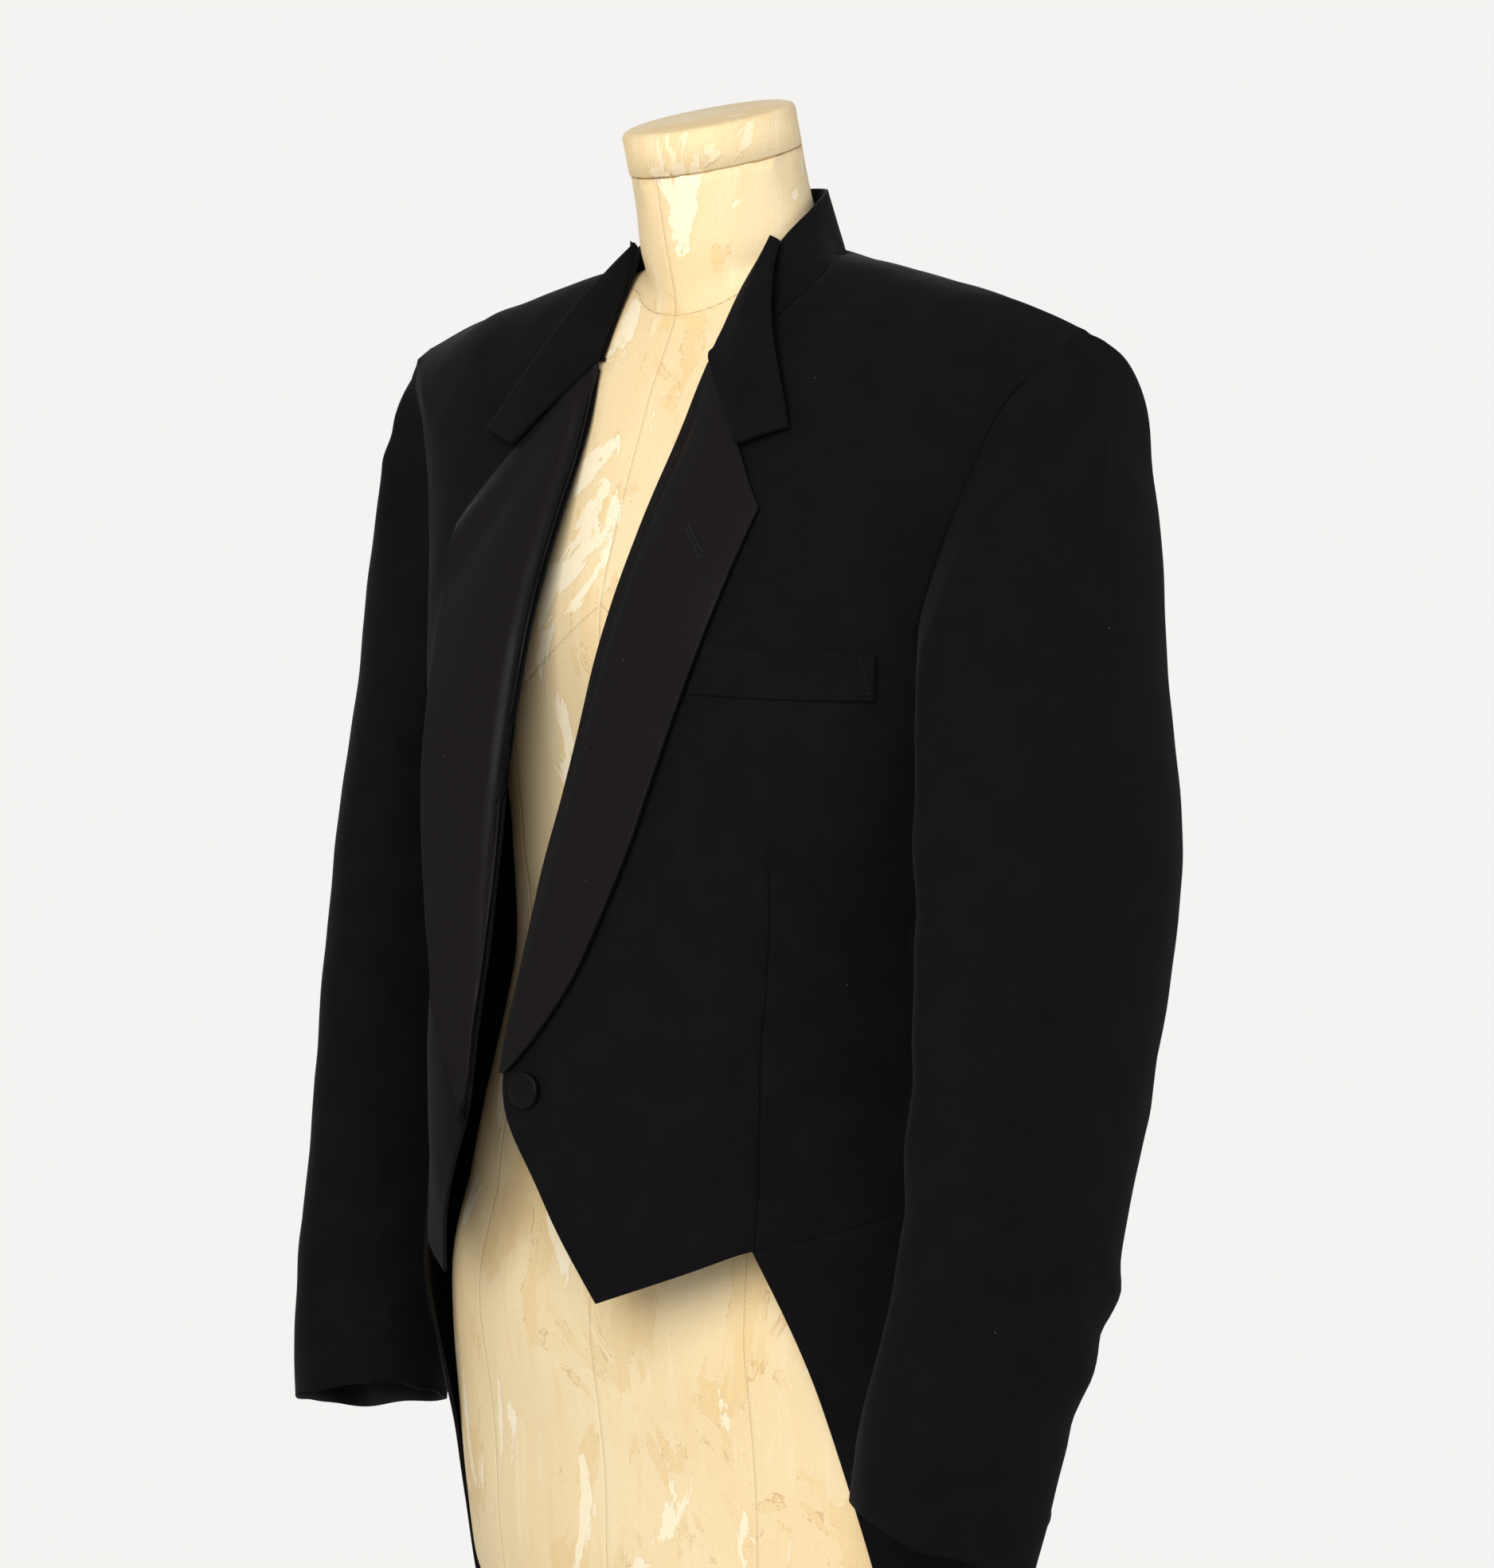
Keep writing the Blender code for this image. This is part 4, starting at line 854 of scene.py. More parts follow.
def follow(spots, path):
    """Each spot's distance from a path, and how far along it the nearest place is, as a share."""
    legs = np.diff(path, axis=0)
    lengths = np.linalg.norm(legs, axis=1)
    run = np.concatenate([[0.0], np.cumsum(lengths)])
    nearest = np.full(len(spots), np.inf)
    along = np.zeros(len(spots))
    for start, leg, length, before in zip(path[:-1], legs, lengths, run):
        share = np.clip((spots - start) @ leg / length ** 2, 0, 1)
        gap = np.linalg.norm(spots - start - share[:, None] * leg, axis=1)
        near = gap < nearest
        nearest = np.where(near, gap, nearest)
        along = np.where(near, before + share * length, along)
    return nearest, along / run[-1]


def rolled(spots, ways, side, depth):
    """Turns a lapel, or the forepart under it, softly inwards at the roll line."""
    line = roll_line(side)
    nearest = follow(spots, line)[0]
    ends = np.minimum((spots[:, 2] - line[0, 2]) / ROLL_FOOT, (line[-1, 2] - spots[:, 2]) / ROLL_FADE)
    ends = np.clip(ends, 0, 1)
    depth = depth * np.clip(1 - nearest / ROLL_WIDTH, 0, 1) ** 2 * ends * ends * (3 - 2 * ends)
    return spots - ways * depth[:, None]


def flatten(piece):
    """Unwraps a sheet to its flat pattern in metres with its grain upright, and returns its width, length and area."""
    bpy.ops.object.select_all(action="DESELECT")
    piece.select_set(True)
    bpy.context.view_layer.objects.active = piece
    bpy.ops.object.mode_set(mode="EDIT")
    bpy.ops.mesh.select_all(action="SELECT")
    bpy.ops.uv.unwrap(method="ANGLE_BASED", margin=0.0)
    bpy.ops.object.mode_set(mode="OBJECT")
    mesh = piece.data
    layer = mesh.uv_layers[0]
    layer.name = "cut"
    flat = read(layer.data, "uv", 2)
    spots = points_of(mesh)[read(mesh.loops, "vertex_index", 1, int)[:, 0]]
    area = sum(face.area for face in mesh.polygons)
    drawn = 0.0
    for face in mesh.polygons:
        across, along = flat[list(face.loop_indices)].T
        drawn += abs(np.dot(across, np.roll(along, 1)) - np.dot(along, np.roll(across, 1))) / 2
    flat *= math.sqrt(area / drawn)
    flat -= flat.mean(axis=0)
    fit = np.linalg.lstsq(np.column_stack([flat, np.ones(len(flat))]), spots[:, 2], rcond=None)[0]
    turn = math.atan2(fit[0], fit[1])
    flat = flat @ np.array([[math.cos(turn), math.sin(turn)], [-math.sin(turn), math.cos(turn)]])
    layer.data.foreach_set("uv", flat.ravel())
    width, length = flat.max(axis=0) - flat.min(axis=0)
    return float(width), float(length), float(area)


def fold_heights(spots, folds):
    """Height of the drape at each unrolled spot. Each fold is soft across and fades at its ends."""
    total = np.zeros(len(spots))
    for half_width, height, path in folds:
        nearest, along = follow(spots, np.array(path))
        fade = np.sin(np.pi * np.clip(along, 0, 1)) ** FOLD_FADE
        total += height * MM * fade * np.exp(-((nearest / (half_width * MM)) ** 2))
    return total


def unevenness(spots, size, height):
    """Small smooth unevenness, as a sum of waves of the given size."""
    total = np.zeros(len(spots))
    for index, wave in enumerate(WAVES):
        rate = WAVE_RATE + WAVE_RATE_STEP * index
        total += np.sin(spots @ np.array(wave) * 2 * np.pi / size * rate + WAVE_PHASE_STEP * index)
    return total * height / 3


def unrolled(folds, radius):
    """Folds with their degrees turned to distance round the cloth."""
    return [
        (half, rise, [(math.radians(angle) * radius, height) for angle, height in path]) for half, rise, *path in folds
    ]


def drape(spots, ways):
    """Lays the folds of the coat's body on a piece of it."""
    angle = np.arctan2(np.abs(spots[:, 0]), COAT_CENTRE_Y - spots[:, 1])
    flat = np.column_stack([angle * COAT_RADIUS, spots[:, 2]])
    left, right = (fold_heights(flat, unrolled(folds, COAT_RADIUS)) for folds in (LEFT_COAT_FOLDS, RIGHT_COAT_FOLDS))
    share = np.clip(spots[:, 0] / BLEND_WIDTH + 0.5, 0, 1)
    rise = bpy.context.scene.tailcoat.fold_depth * (share * left + (1 - share) * right)
    return spots + ways * (rise + unevenness(spots, *COAT_UNEVENNESS))[:, None]


def finish_piece(piece, material, node=None):
    """Shades a piece and gives it its finish, and its node's place if it takes one."""
    piece.data.shade_smooth()
    piece.data.materials.clear()
    piece.data.materials.append(material_named(material))
    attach(piece, "root")
    if node:
        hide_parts(node)


def round_edges(piece, name, width, angle):
    """Rounds the edges that are sharper than an angle."""
    rim = piece.modifiers.new(name, "BEVEL")
    rim.width = width
    rim.segments = 2
    rim.limit_method = "ANGLE"
    rim.angle_limit = math.radians(angle)


def sew(
    node, faces, thickness,
    levels=LEVELS, outside="Black worsted", inside="Black worsted", kind="cloth", shape=drape,
):
    """Makes a worn piece of cloth from the outside of its CAD solid."""
    layer = outer_layer(node, faces)
    keep_corners(layer)
    piece = add_piece(layer, f"{node}_{kind}")
    width, length, area = flatten(piece)
    halve(piece, levels)
    mesh = piece.data
    ease(mesh)
    if node.startswith(("forepart", "back")):
        soften_armhole(mesh)
    if node.startswith(("forepart", "lapel")):
        depth = ROLL_DEPTH + (ROLL_CLEARANCE if node.startswith("forepart") else 0)
        move_points(mesh, rolled(points_of(mesh), normals_of(mesh), node.split("_")[1], depth))
    move_points(mesh, shape(points_of(mesh), normals_of(mesh)))
    finish_piece(piece, outside, node)
    mesh.materials.append(material_named(inside))
    wall = piece.modifiers.new("Cloth", "SOLIDIFY")
    wall.thickness = thickness
    wall.offset = -1
    wall.material_offset = 1
    wall.material_offset_rim = 0
    round_edges(piece, "Turned edge", min(EDGE_WIDTH, thickness * EDGE_SHARE), FOLD_ANGLE)
    return piece


def surface_of(piece):
    """A piece's faces, to find the place nearest to a spot."""
    mesh = piece.data
    return BVHTree.FromPolygons([vert.co[:] for vert in mesh.vertices], [face.vertices[:] for face in mesh.polygons])


def add_stitch(bm, spot, out, normal, size):
    """One stitch on a surface, with its length along out."""
    turned = Matrix((out, normal.cross(out).normalized(), normal)).transposed().to_4x4()
    made = bmesh.ops.create_uvsphere(bm, u_segments=8, v_segments=5, radius=1.0)
    bmesh.ops.scale(bm, verts=made["verts"], vec=size)
    bmesh.ops.transform(bm, verts=made["verts"], matrix=Matrix.Translation(spot) @ turned)


def spun(profile, steps, closed=False):
    """A bmesh turned round the upright axis from distances and heights."""
    bm = bmesh.new()
    verts = [bm.verts.new((out, 0, height)) for out, height in profile]
    edges = [bm.edges.new(pair) for pair in zip(verts[:-1], verts[1:])]
    if closed:
        edges.append(bm.edges.new((verts[-1], verts[0])))
    bmesh.ops.spin(
        bm, geom=verts + edges, cent=(0, 0, 0), axis=(0, 0, 1), dvec=(0, 0, 0), angle=math.tau, steps=steps,
        use_merge=True, use_duplicate=False,
    )
    bmesh.ops.remove_doubles(bm, verts=bm.verts, dist=WELD)
    bmesh.ops.recalc_face_normals(bm, faces=bm.faces)
    return bm


class Step:
    """What the steps share: each can be undone, and its settings show after it runs."""

    bl_options = {"REGISTER", "UNDO"}


class TAILCOAT_OT_body(Step, bpy.types.Operator):
    """Cuts and drapes the foreparts, side bodies, backs and tail skirts"""

    bl_idname = "tailcoat.body"
    bl_label = "Coat body"

    def execute(self, context):
        thickness = context.scene.tailcoat.wool_thickness
        for part, (across, back, up) in BODY_PIECES:
            for side, way in SIDES:
                self.piece(f"{part}_{side}", (way * across, back, up), thickness, part == "forepart")
        return {"FINISHED"}

    def piece(self, node, faces, thickness, dart):
        """One piece of the body, with the place of its dart if it has one."""
        outside = "Black worsted with dart" if dart else "Black worsted"
        piece = sew(node, faces, thickness, outside=outside, inside="Black lining")
        if dart:
            spots = points_of(piece.data)
            gap = np.abs(spots[:, 0]) - np.interp(spots[:, 2], *zip(*DART))
            above = np.clip(spots[:, 2] - DART[-1][0], 0, None)
            mark(piece.data, "dart", gap + np.where(gap < 0, -above, above))


class TAILCOAT_OT_sleeves(Step, bpy.types.Operator):
    """Makes both sleeves, each from a top and an under piece, with unpressed cuffs"""

    bl_idname = "tailcoat.sleeves"
    bl_label = "Sleeves"

    # Rings that the middle of the sleeve is measured from, and how far each reaches into its neighbours
    RINGS = 24
    RING_OVERLAP = 0.012
    # The hem's waves: how far up they are in full, over what height they fade, and degrees from drop to swell
    HEM_FULL = 0.02
    HEM_FADE = 0.06
    HEM_LAG = 60

    def execute(self, context):
        thickness = context.scene.tailcoat.wool_thickness
        for (side, way), folds in zip(SIDES, (LEFT_SLEEVE_FOLDS, RIGHT_SLEEVE_FOLDS)):
            self.way = way
            self.folds = unrolled(folds, SLEEVE_RADIUS)
            both = np.concatenate([points_of(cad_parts[f"{part}_{side}"].data) for part, _ in SLEEVE_PIECES])
            self.hem = both[:, 2].min()
            rows = np.linspace(self.hem, both[:, 2].max(), self.RINGS)
            middles = []
            for low, high in zip(rows[:-1], rows[1:]):
                ring = both[(both[:, 2] >= low - self.RING_OVERLAP) & (both[:, 2] <= high + self.RING_OVERLAP)]
                middles.append(((low + high) / 2, *((ring.min(axis=0) + ring.max(axis=0))[:2] / 2)))
            self.middles = np.array(middles).T
            for part, outward in SLEEVE_PIECES:
                faces = (way * outward, 0, 0)
                sew(f"{part}_{side}", faces, thickness, inside="Black lining", shape=self.shape)
        return {"FINISHED"}

    def shape(self, spots, ways):
        """Folds down the sleeve, and waves in its hem."""
        heights, middle_x, middle_y = self.middles
        across = (spots[:, 0] - np.interp(spots[:, 2], heights, middle_x)) * self.way
        ahead = np.interp(spots[:, 2], heights, middle_y) - spots[:, 1]
        angle = np.arctan2(ahead, across)
        rise = np.zeros(len(spots))
        for turn in (-2 * np.pi, 0, 2 * np.pi):
            rise += fold_heights(np.column_stack([(angle + turn) * SLEEVE_RADIUS, spots[:, 2]]), self.folds)
        rise = rise * bpy.context.scene.tailcoat.fold_depth + unevenness(spots, *SLEEVE_UNEVENNESS)
        near_hem = np.clip(1 - (spots[:, 2] - self.hem - self.HEM_FULL) / self.HEM_FADE, 0, 1) ** 2
        drop, swell = np.zeros(len(spots)), np.zeros(len(spots))
        for turns, phase, fall, wide in CUFF_WAVES:
            drop += fall * MM * np.sin(turns * angle + math.radians(phase) * self.way)
            swell += wide * MM * np.sin(turns * angle + math.radians(phase + self.HEM_LAG) * self.way)
        moved = spots + ways * (rise + swell * near_hem)[:, None]
        moved[:, 2] -= drop * near_hem
        return moved


class TAILCOAT_OT_collar(Step, bpy.types.Operator):
    """Makes the collar's stand and its two leaves"""

    bl_idname = "tailcoat.collar"
    bl_label = "Collar"

    THICKNESS = 0.0022
    RESTS_ON = ["form_torso", "forepart_left", "forepart_right"]

    def execute(self, context):
        sew("collar_stand", (0, 0.3, 1), self.THICKNESS, levels=2)
        for side, _ in SIDES:
            sew("collar_leaf_" + side, (0, -1, 0.4), self.THICKNESS)
        return {"FINISHED"}


class TAILCOAT_OT_seams(Step, bpy.types.Operator):
    """Sews the neighbouring pieces of wool edge to edge, and leaves the back vent open"""

    bl_idname = "tailcoat.seams"
    bl_label = "Seams"

    def execute(self, context):
        names = [f"{part}_{side}_cloth" for part, _ in BODY_PIECES + SLEEVE_PIECES for side, _ in SIDES]
        names.append("collar_stand_cloth")
        meshes = {name: bpy.data.objects[name].data for name in names}
        spots = {name: points_of(mesh) for name, mesh in meshes.items()}
        edges = {name: border(mesh) for name, mesh in meshes.items()}
        for name in names:
            rim = np.unique(edges[name])
            here = spots[name][rim]
            goal = here.copy()
            starts, ends = (
                np.concatenate([spots[other][edges[other][:, end]] for other in names if other != name])
                for end in (0, 1)
            )
            for index, spot in enumerate(here):
                near = np.abs(starts - spot).max(axis=1) < SEAM_SEARCH
                if not near.any() or (spot[2] < VENT_TOP and abs(spot[0]) < VENT_WIDTH):
                    continue
                start, leg = starts[near], ends[near] - starts[near]
                share = ((spot - start) * leg).sum(axis=1) / np.maximum((leg * leg).sum(axis=1), TINY)
                close = start + np.clip(share, 0, 1)[:, None] * leg
                gap = np.linalg.norm(close - spot, axis=1)
                best = gap.argmin()
                if gap[best] < SEAM_REACH:
                    goal[index] = (spot + close[best]) / 2
            after = spots[name].copy()
            after[rim] = goal
            move_points(meshes[name], after)
        return {"FINISHED"}


class TAILCOAT_OT_lapels(Step, bpy.types.Operator):
    """Makes the satin lapels with their soft roll, and the keyhole buttonhole in the left one"""

    bl_idname = "tailcoat.lapels"
    bl_label = "Lapels"

    # Half width of the slit, and length of its straight part as a share
    SLIT = 0.0011
    STRAIGHT = 0.80
    # Radius of the slit's eye, how far its middle lies from the slit's end, and where its stitches point in degrees
    EYE = 0.0021
    EYE_BACK = 0.0022
    EYE_TURNS = range(140, -141, -35)
    # Stitches along each side, half their length, width and height, and how high they lie
    STITCHES = 15
    STITCH = (0.00085, 0.00034, 0.00036)
    LIFT = 0.00015

    def execute(self, context):
        thickness = context.scene.tailcoat.satin_thickness
        for side, _ in SIDES:
            piece = sew(
                "lapel_" + side, (0, -1, 0), thickness,
                outside="Black satin", kind="satin",
            )
            if side == "left":
                self.buttonhole(piece)
        return {"FINISHED"}

    def buttonhole(self, lapel):
        """Whipped stitches round a slit that ends in an eye."""
        surface = surface_of(lapel)
        start, end = (Vector(point) for point in BUTTONHOLE)
        along = (end - start).normalized()
        normal = surface.find_nearest((start + end) / 2)[1]
        aside = normal.cross(along).normalized()
        length = (end - start).length
        steps = [length * self.STRAIGHT * step / self.STITCHES for step in range(self.STITCHES + 1)]
        outline = [(ahead, self.SLIT, 90) for ahead in steps[:-1]]
        for turn in self.EYE_TURNS:
            ahead = length - self.EYE_BACK + self.EYE * math.cos(math.radians(turn))
            outline.append((ahead, self.EYE * math.sin(math.radians(turn)), turn))
        outline += [(ahead, -self.SLIT, -90) for ahead in reversed(steps[1:])]
        bm = bmesh.new()
        for ahead, over, turn in outline:
            spot = surface.find_nearest(start + along * ahead + aside * over)[0]
            out = along * math.cos(math.radians(turn)) + aside * math.sin(math.radians(turn))
            add_stitch(bm, spot + normal * self.LIFT, out, normal, self.STITCH)
        finish_piece(add_piece(bm, "buttonhole_stitches"), "Sewing thread")


class TAILCOAT_OT_welt(Step, bpy.types.Operator):
    """Makes the breast welt with pick stitches at its outer end"""

    bl_idname = "tailcoat.welt"
    bl_label = "Breast welt"

    THICKNESS = 0.0017
    # Width of the welt's outer end, how far inwards its stitches are, half their size and how high they lie
    END_WIDTH = 0.004
    INWARDS = Vector((-0.0022, -0.0016, 0))
    STITCHES = 9
    STITCH = (0.00075, 0.00022, 0.00022)
    LIFT = 0.0001

    def execute(self, context):
        self.stitches(sew("breast_welt", (0.5, -0.8, 0), self.THICKNESS))
        return {"FINISHED"}

    def stitches(self, welt):
        """A short row of stitches beside the welt's outer end."""
        surface = surface_of(welt)
        spots = points_of(welt.data)
        end = spots[spots[:, 0] > spots[:, 0].max() - self.END_WIDTH]
        low, high = Vector(end[end[:, 2].argmin()]), Vector(end[end[:, 2].argmax()])
        along = (high - low).normalized()
        bm = bmesh.new()
        for step in range(self.STITCHES):
            beside_end = low.lerp(high, (step + 0.5) / self.STITCHES) + self.INWARDS
            spot, normal, _, _ = surface.find_nearest(beside_end)
            out = normal.cross(along).normalized().cross(normal).normalized()
            add_stitch(bm, spot + normal * self.LIFT, out, normal, self.STITCH)
        finish_piece(add_piece(bm, "welt_pick_stitches"), "Sewing thread")


class TAILCOAT_OT_buttons(Step, bpy.types.Operator):
    """Makes the satin covered buttons"""

    bl_idname = "tailcoat.buttons"
    bl_label = "Covered buttons"

    # Distance from the middle and height, as shares of the radius and the height
    PROFILE = (
        (0.00, 0.900), (0.40, 0.895), (0.62, 0.885), (0.76, 0.890), (0.85, 0.930), (0.91, 0.965), (0.955, 0.930),
        (0.985, 0.800), (1.00, 0.600), (0.985, 0.380), (0.94, 0.220), (0.84, 0.120), (0.62, 0.060), (0.50, 0.000),
        (0.00, 0.000),
    )
    # Gathers of the cover: how many, how deep as a share, and how far up and in from the rim they reach
    GATHERS = 24
    GATHER_DEPTH = 0.022
    GATHER_TOP = 0.62
    GATHER_IN = 0.6
    STEPS = 48
    # The way that the left cuff's button looks
    CUFF_WAY = (0.3, 1.0, 0.0)

    def execute(self, context):
        for node in ("front_button", "cuff_button_left", "cuff_button_right"):
            spots = points_of(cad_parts[node].data)
            middle = spots.mean(axis=0)
            axis = np.linalg.svd(spots - middle, full_matrices=False)[2][2]
            away = middle - np.array([0, COAT_CENTRE_Y, middle[2]])
            if node.startswith("cuff"):
                away = np.array(self.CUFF_WAY) * ((1 if "left" in node else -1), 1, 1)
            if axis @ away < 0:
                axis = -axis
            depth = (spots - middle) @ axis
            radius = float(np.linalg.norm(spots - middle - np.outer(depth, axis), axis=1).max())
            self.cover(node, middle + axis * depth.min(), axis, radius, float(depth.max() - depth.min()))
        return {"FINISHED"}

    def cover(self, node, foot, axis, radius, height):
        """One domed button, spun from its profile, with small gathers under its rim."""
        bm = spun([(share * radius, rise * height) for share, rise in self.PROFILE], self.STEPS)
        for vert in bm.verts:
            turn = math.atan2(vert.co.y, vert.co.x)
            low = max(0.0, 1 - vert.co.z / (self.GATHER_TOP * height))
            out = math.hypot(vert.co.x, vert.co.y) / radius
            if out > self.GATHER_IN:
                pull = 1 + self.GATHER_DEPTH * low * math.sin(self.GATHERS * turn) * out
                vert.co.x *= pull
                vert.co.y *= pull
        foot = Vector(foot)
        turned = Vector(axis).to_track_quat("Z", "Y").to_matrix().to_4x4()
        bmesh.ops.transform(bm, verts=bm.verts, matrix=Matrix.Translation(foot) @ turned)
        layer = bm.loops.layers.uv.new("cut")
        back = turned.inverted()
        for face in bm.faces:
            for loop in face.loops:
                loop[layer].uv = (back @ (loop.vert.co - foot))[:2]
        finish_piece(add_piece(bm, node + "_satin"), "Button satin", node)


class TAILCOAT_OT_dress_form(Step, bpy.types.Operator):
    """Makes the papered torso with its seams, and the neck cap"""

    bl_idname = "tailcoat.dress_form"
    bl_label = "Dress form"

    # How sharp the torso's edges stay, and where its bust seams stop towards the back and past their ends
    CREASE = 0.9
    SEAM_BACK = -0.02
    SEAM_PAST = 0.01
    # Flat faces of the cap are joined up to this angle, and its rim is rounded by this width
    FLAT_ANGLE = 2
    CAP_EDGE = 0.0016

    def execute(self, context):
        bm = merged("form_torso")
        make_quads(bm)
        crease = bm.edges.layers.float.new("crease_edge")
        for edge in bm.edges:
            if edge.calc_face_angle(0) > math.radians(FOLD_ANGLE):
                edge[crease] = self.CREASE
        torso = add_piece(bm, "form_torso_paper")
        halve(torso, 2)
        spots = points_of(torso.data)
        rise = unevenness(spots, *FORM_UNEVENNESS)
        turn = np.degrees(np.arctan2(np.abs(spots[:, 0]), -spots[:, 1]))
        wide = np.cos(np.pi / 2 * np.clip((turn - FULLNESS_ANGLE) / FULLNESS_REACH, -1, 1)) ** 2
        rise += np.interp(spots[:, 2], *zip(*FORM_FULLNESS)) * MM * wide
        move_points(torso.data, spots + normals_of(torso.data) * rise[:, None])
        panel = np.abs(spots[:, 0]) - np.interp(spots[:, 2], *zip(*PANEL_SEAM))
        neck = spots[:, 2] - np.interp(spots[:, 1], *zip(*NECK_SEAM))
        lean = math.cos(math.atan(BUST_SEAM_SLOPE))
        slope = BUST_SEAM_SLOPE * (np.abs(spots[:, 0]) - BUST_SEAM_START[0])
        bust = (spots[:, 2] - BUST_SEAM_START[1] + slope) * lean
        hidden = (spots[:, 1] > self.SEAM_BACK) | (np.abs(spots[:, 0]) > BUST_SEAM_END + self.SEAM_PAST)
        mark(torso.data, "seams", np.column_stack([panel, neck, np.where(hidden, 1.0, bust)]))
        finish_piece(torso, "Aged paper torso", "form_torso")
        bm = merged("form_neck_cap")
        bmesh.ops.dissolve_limit(bm, angle_limit=math.radians(self.FLAT_ANGLE), verts=bm.verts, edges=bm.edges)
        sharp = [edge for edge in bm.edges if edge.calc_face_angle(0) > math.radians(FOLD_ANGLE)]
        bmesh.ops.bevel(bm, geom=sharp, offset=self.CAP_EDGE, affect="EDGES", segments=3, profile=0.5, material=-1)
        finish_piece(add_piece(bm, "form_neck_cap_paper"), "Aged paper cap", "form_neck_cap")
        return {"FINISHED"}


class TAILCOAT_OT_stand(Step, bpy.types.Operator):
    """Turns the steel pole and the iron base"""

    bl_idname = "tailcoat.stand"
    bl_label = "Stand"

    # Gap between the pole and the base's hole, how far the pole's ends are cut back, and the rounding of sharp edges
    GAP = 0.0003
    CHAMFER = 0.0012
    EDGE = 0.0005
    EDGE_ANGLE = 40
    STEPS = 96

    def execute(self, context):
        (low, _, _), (high, _, top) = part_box("stand_base")
        radius = (high - low) / 2
        (low, _, foot), (high, _, head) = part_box("stand_pole")
        pole = (high - low) / 2
        hole = pole + self.GAP
        base = (
            (hole, 0.002), (radius - 0.004, 0.0), (radius - 0.0008, 0.0012), (radius, 0.005), (radius, 0.014),
            (radius - 0.0015, 0.0178), (radius - 0.006, 0.0196), (radius - 0.030, 0.0200), (0.048, 0.0202),
            (0.036, 0.0212), (0.0305, 0.0245), (0.0285, 0.0300), (0.0280, top - 0.003), (0.0268, top - 0.0006),
            (0.0245, top), (hole, top),
        )
        self.turn(base, "stand_base", "stand_base_iron", "Painted iron", "base_iron", True)
        ends = (
            (0.0, foot), (pole - self.CHAMFER, foot), (pole, foot + self.CHAMFER),
            (pole, head - self.CHAMFER), (pole - self.CHAMFER, head), (0.0, head),
        )
        self.turn(ends, "stand_pole", "stand_pole_steel", "Brushed steel", "pole_metal", False)
        return {"FINISHED"}

    def turn(self, profile, node, name, material, slot, closed):
        """Spins a profile round the upright axis."""
        piece = add_piece(spun(profile, self.STEPS, closed), name)
        round_edges(piece, "Edge", self.EDGE, self.EDGE_ANGLE)
        finish_piece(piece, material, node)


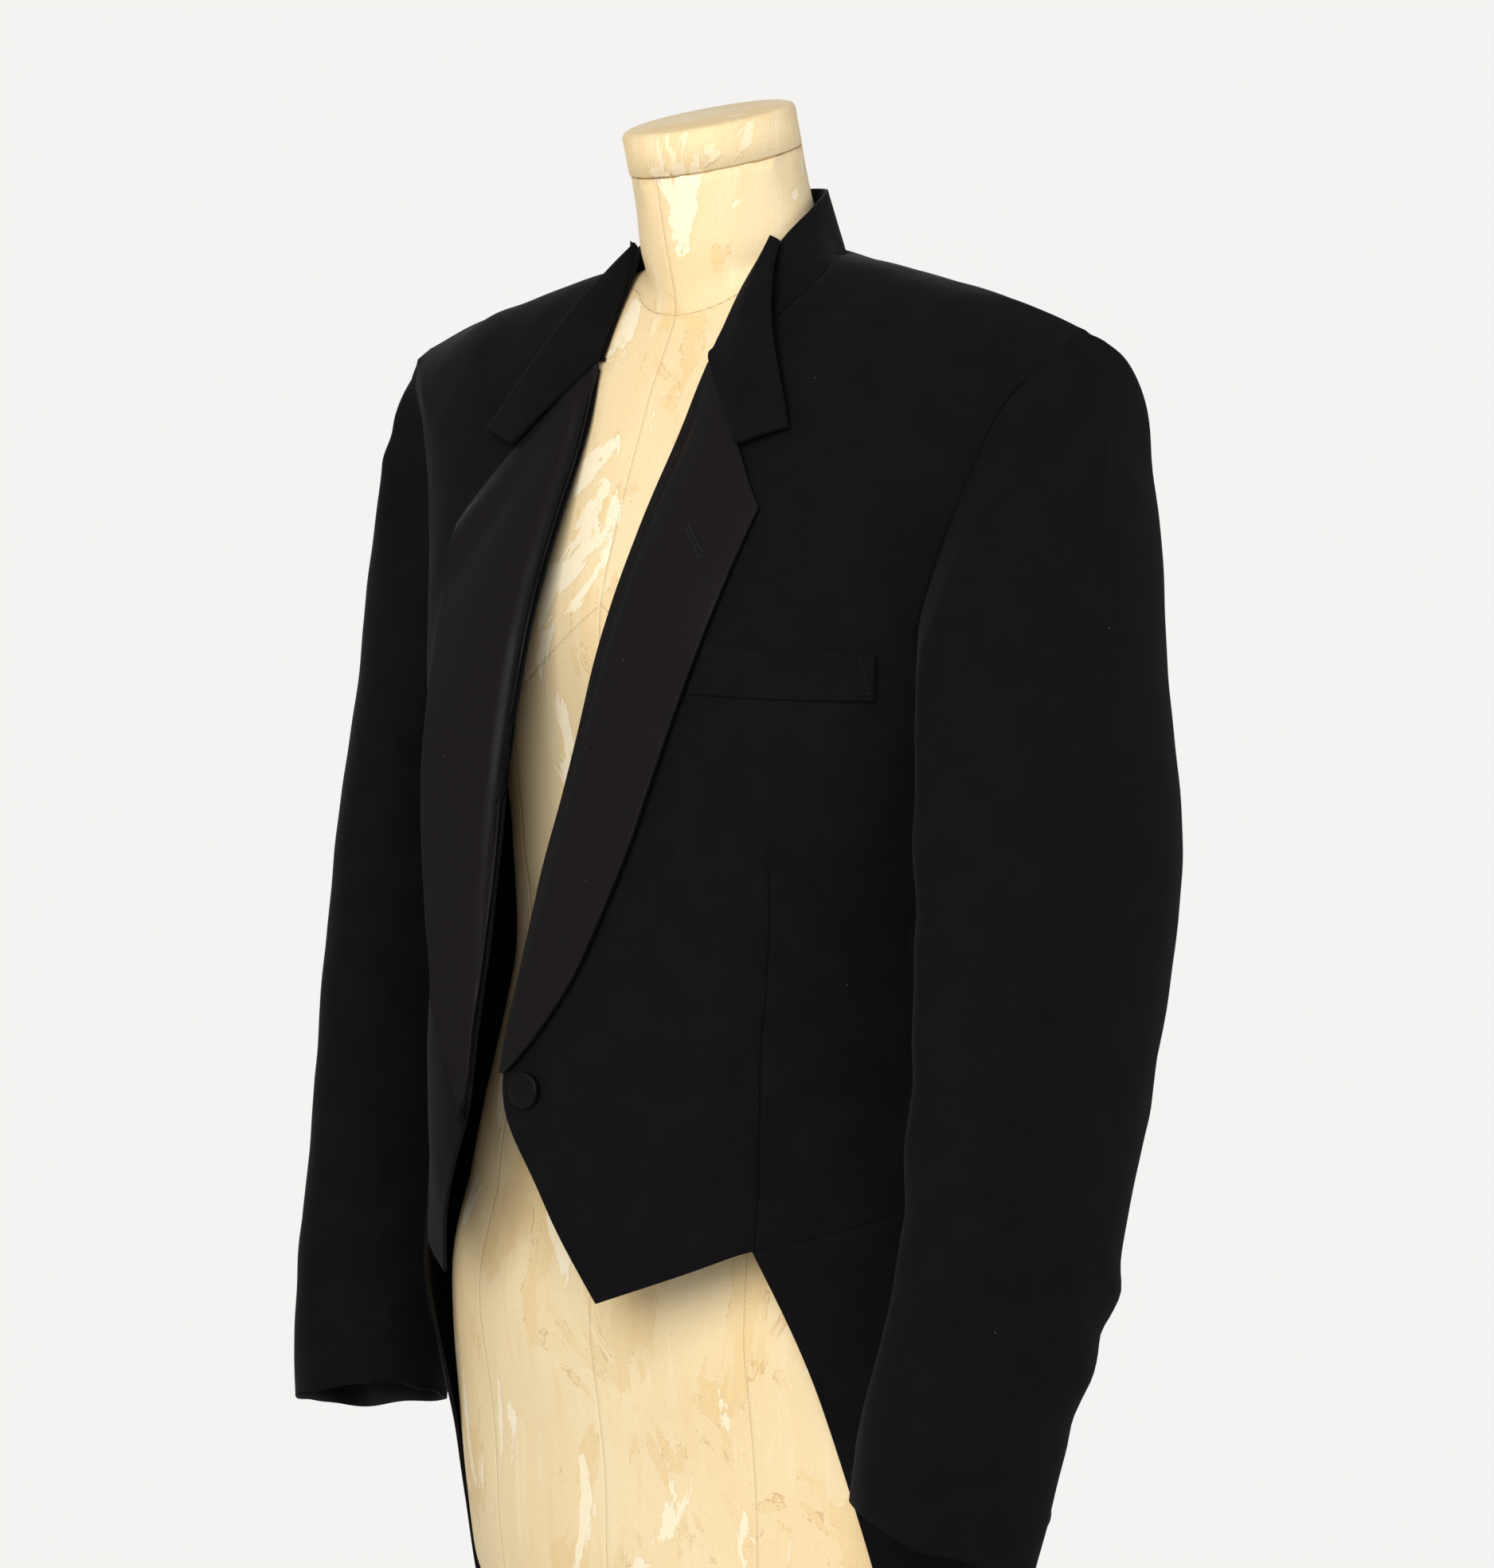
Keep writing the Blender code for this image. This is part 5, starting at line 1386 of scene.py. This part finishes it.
class TAILCOAT_OT_stage(Step, bpy.types.Operator):
    """Sets the floor, the lights and the camera"""

    bl_idname = "tailcoat.stage"
    bl_label = "Stage"

    # Each light's way left of the coat, towards the camera and up, how far up it aims, its size and its share of power
    MIDDLE = Vector((0, 0, 1.15))
    LIGHTS = {
        "Main light": ((0.50, 1.9, 0.65), 0.12, (1.2, 1.2), 1.0),
        "Side light": ((-2.0, 0.5, 0.5), 0.0, (1.2, 2.0), 0.25),
        "Back light": ((0.2, -2.2, 0.4), 0.0, (1.6, 2.0), 0.6),
    }

    def execute(self, context):
        stage = context.scene.tailcoat_stage
        turn = math.radians(CAMERA_TURN)
        right = Vector((math.cos(turn), math.sin(turn), 0))
        ahead = Vector((-math.sin(turn), math.cos(turn), 0))
        self.camera(context, right, ahead)
        self.floor(stage)
        self.surround(context, stage)
        for name, ((left, near, up), aim, size, share) in self.LIGHTS.items():
            spot = self.MIDDLE - right * left - ahead * near + Vector((0, 0, up))
            self.light(name, spot, self.MIDDLE + Vector((0, 0, aim)), size, stage.key_power * share)
        context.scene.view_settings.view_transform = "Standard"
        return {"FINISHED"}

    def camera(self, context, right, ahead):
        """The photograph's viewpoint and lens."""
        down, roll = math.radians(CAMERA_DOWN), math.radians(CAMERA_ROLL)
        look = ahead * math.cos(down) - Vector((0, 0, math.sin(down)))
        up = right.cross(look)
        across = right * math.cos(roll) + up * math.sin(roll)
        upright = up * math.cos(roll) - right * math.sin(roll)
        data = bpy.data.cameras.new("Camera")
        data.sensor_fit = "HORIZONTAL"
        data.sensor_width = 36
        data.lens = CAMERA_LENS
        camera = bpy.data.objects.new("Camera", data)
        context.scene.collection.objects.link(camera)
        spot = right * CAMERA_ASIDE - ahead * CAMERA_DISTANCE + Vector((0, 0, CAMERA_HEIGHT))
        turned = Matrix((across, upright, -look)).transposed().to_4x4()
        camera.matrix_world = Matrix.Translation(spot) @ turned
        context.scene.camera = camera

    def floor(self, stage):
        """A plain pale disc that fades into the background at its rim."""
        bm = bmesh.new()
        bmesh.ops.create_circle(bm, cap_ends=True, segments=96, radius=stage.floor_radius)
        floor = add_piece(bm, "floor")
        floor.data.materials.append(material_named("Pale floor"))

    def surround(self, context, stage):
        """Even pale light from all round, with the background colour behind the object."""
        world = bpy.data.worlds.new("Studio")
        world.use_nodes = True
        tree = world.node_tree
        tree.nodes.clear()
        light = place(tree, "ShaderNodeBackground", {"Color": (1.0, 0.985, 0.965, 1), "Strength": stage.surround})
        seen = place(tree, "ShaderNodeBackground", {"Color": stage.backdrop, "Strength": 1.0})
        ray = place(tree, "ShaderNodeLightPath").outputs["Is Camera Ray"]
        mixed = place(tree, "ShaderNodeMixShader", {0: ray, 1: light.outputs[0], 2: seen.outputs[0]})
        place(tree, "ShaderNodeOutputWorld", {"Surface": mixed.outputs[0]})
        context.scene.world = world

    def light(self, name, spot, target, size, power):
        """One large soft light."""
        data = bpy.data.lights.new(name, "AREA")
        data.shape = "RECTANGLE"
        data.size, data.size_y = size
        data.energy = power
        data.color = (1.0, 0.98, 0.95)
        lamp = bpy.data.objects.new(name, data)
        lamp.location = spot
        lamp.rotation_euler = (target - spot).to_track_quat("-Z", "Y").to_euler()
        lamp.visible_camera = False
        bpy.context.scene.collection.objects.link(lamp)


class TAILCOAT_PT_panel(bpy.types.Panel):
    """Steps and settings of the tailcoat"""

    bl_idname = "TAILCOAT_PT_panel"
    bl_label = "Tailcoat"
    bl_space_type = "VIEW_3D"
    bl_region_type = "UI"
    bl_category = "Tailcoat"

    def draw(self, context):
        for operator in OPERATORS:
            self.layout.operator(operator.bl_idname)
        for settings in (context.scene.tailcoat, context.scene.dress_form, context.scene.tailcoat_stage):
            box = self.layout.box()
            for name in type(settings).__annotations__:
                box.prop(settings, name)


SETTINGS = (("tailcoat", CoatSettings), ("dress_form", FormSettings), ("tailcoat_stage", StageSettings))
OPERATORS = (
    TAILCOAT_OT_stage,
    TAILCOAT_OT_dress_form,
    TAILCOAT_OT_stand,
    TAILCOAT_OT_body,
    TAILCOAT_OT_sleeves,
    TAILCOAT_OT_collar,
    TAILCOAT_OT_seams,
    TAILCOAT_OT_lapels,
    TAILCOAT_OT_welt,
    TAILCOAT_OT_buttons,
)


def register():
    for name, group in SETTINGS:
        bpy.utils.register_class(group)
        setattr(bpy.types.Scene, name, bpy.props.PointerProperty(type=group))
    for operator in OPERATORS:
        bpy.utils.register_class(operator)
    bpy.utils.register_class(TAILCOAT_PT_panel)


def unregister():
    bpy.utils.unregister_class(TAILCOAT_PT_panel)
    for operator in reversed(OPERATORS):
        bpy.utils.unregister_class(operator)
    for name, group in reversed(SETTINGS):
        delattr(bpy.types.Scene, name)
        bpy.utils.unregister_class(group)


def main():
    register()
    for operator in OPERATORS:
        step = operator.bl_idname.split(".")[1]
        getattr(bpy.ops.tailcoat, step)()
    bpy.context.view_layer.update()


if __name__ == "__main__":
    main()
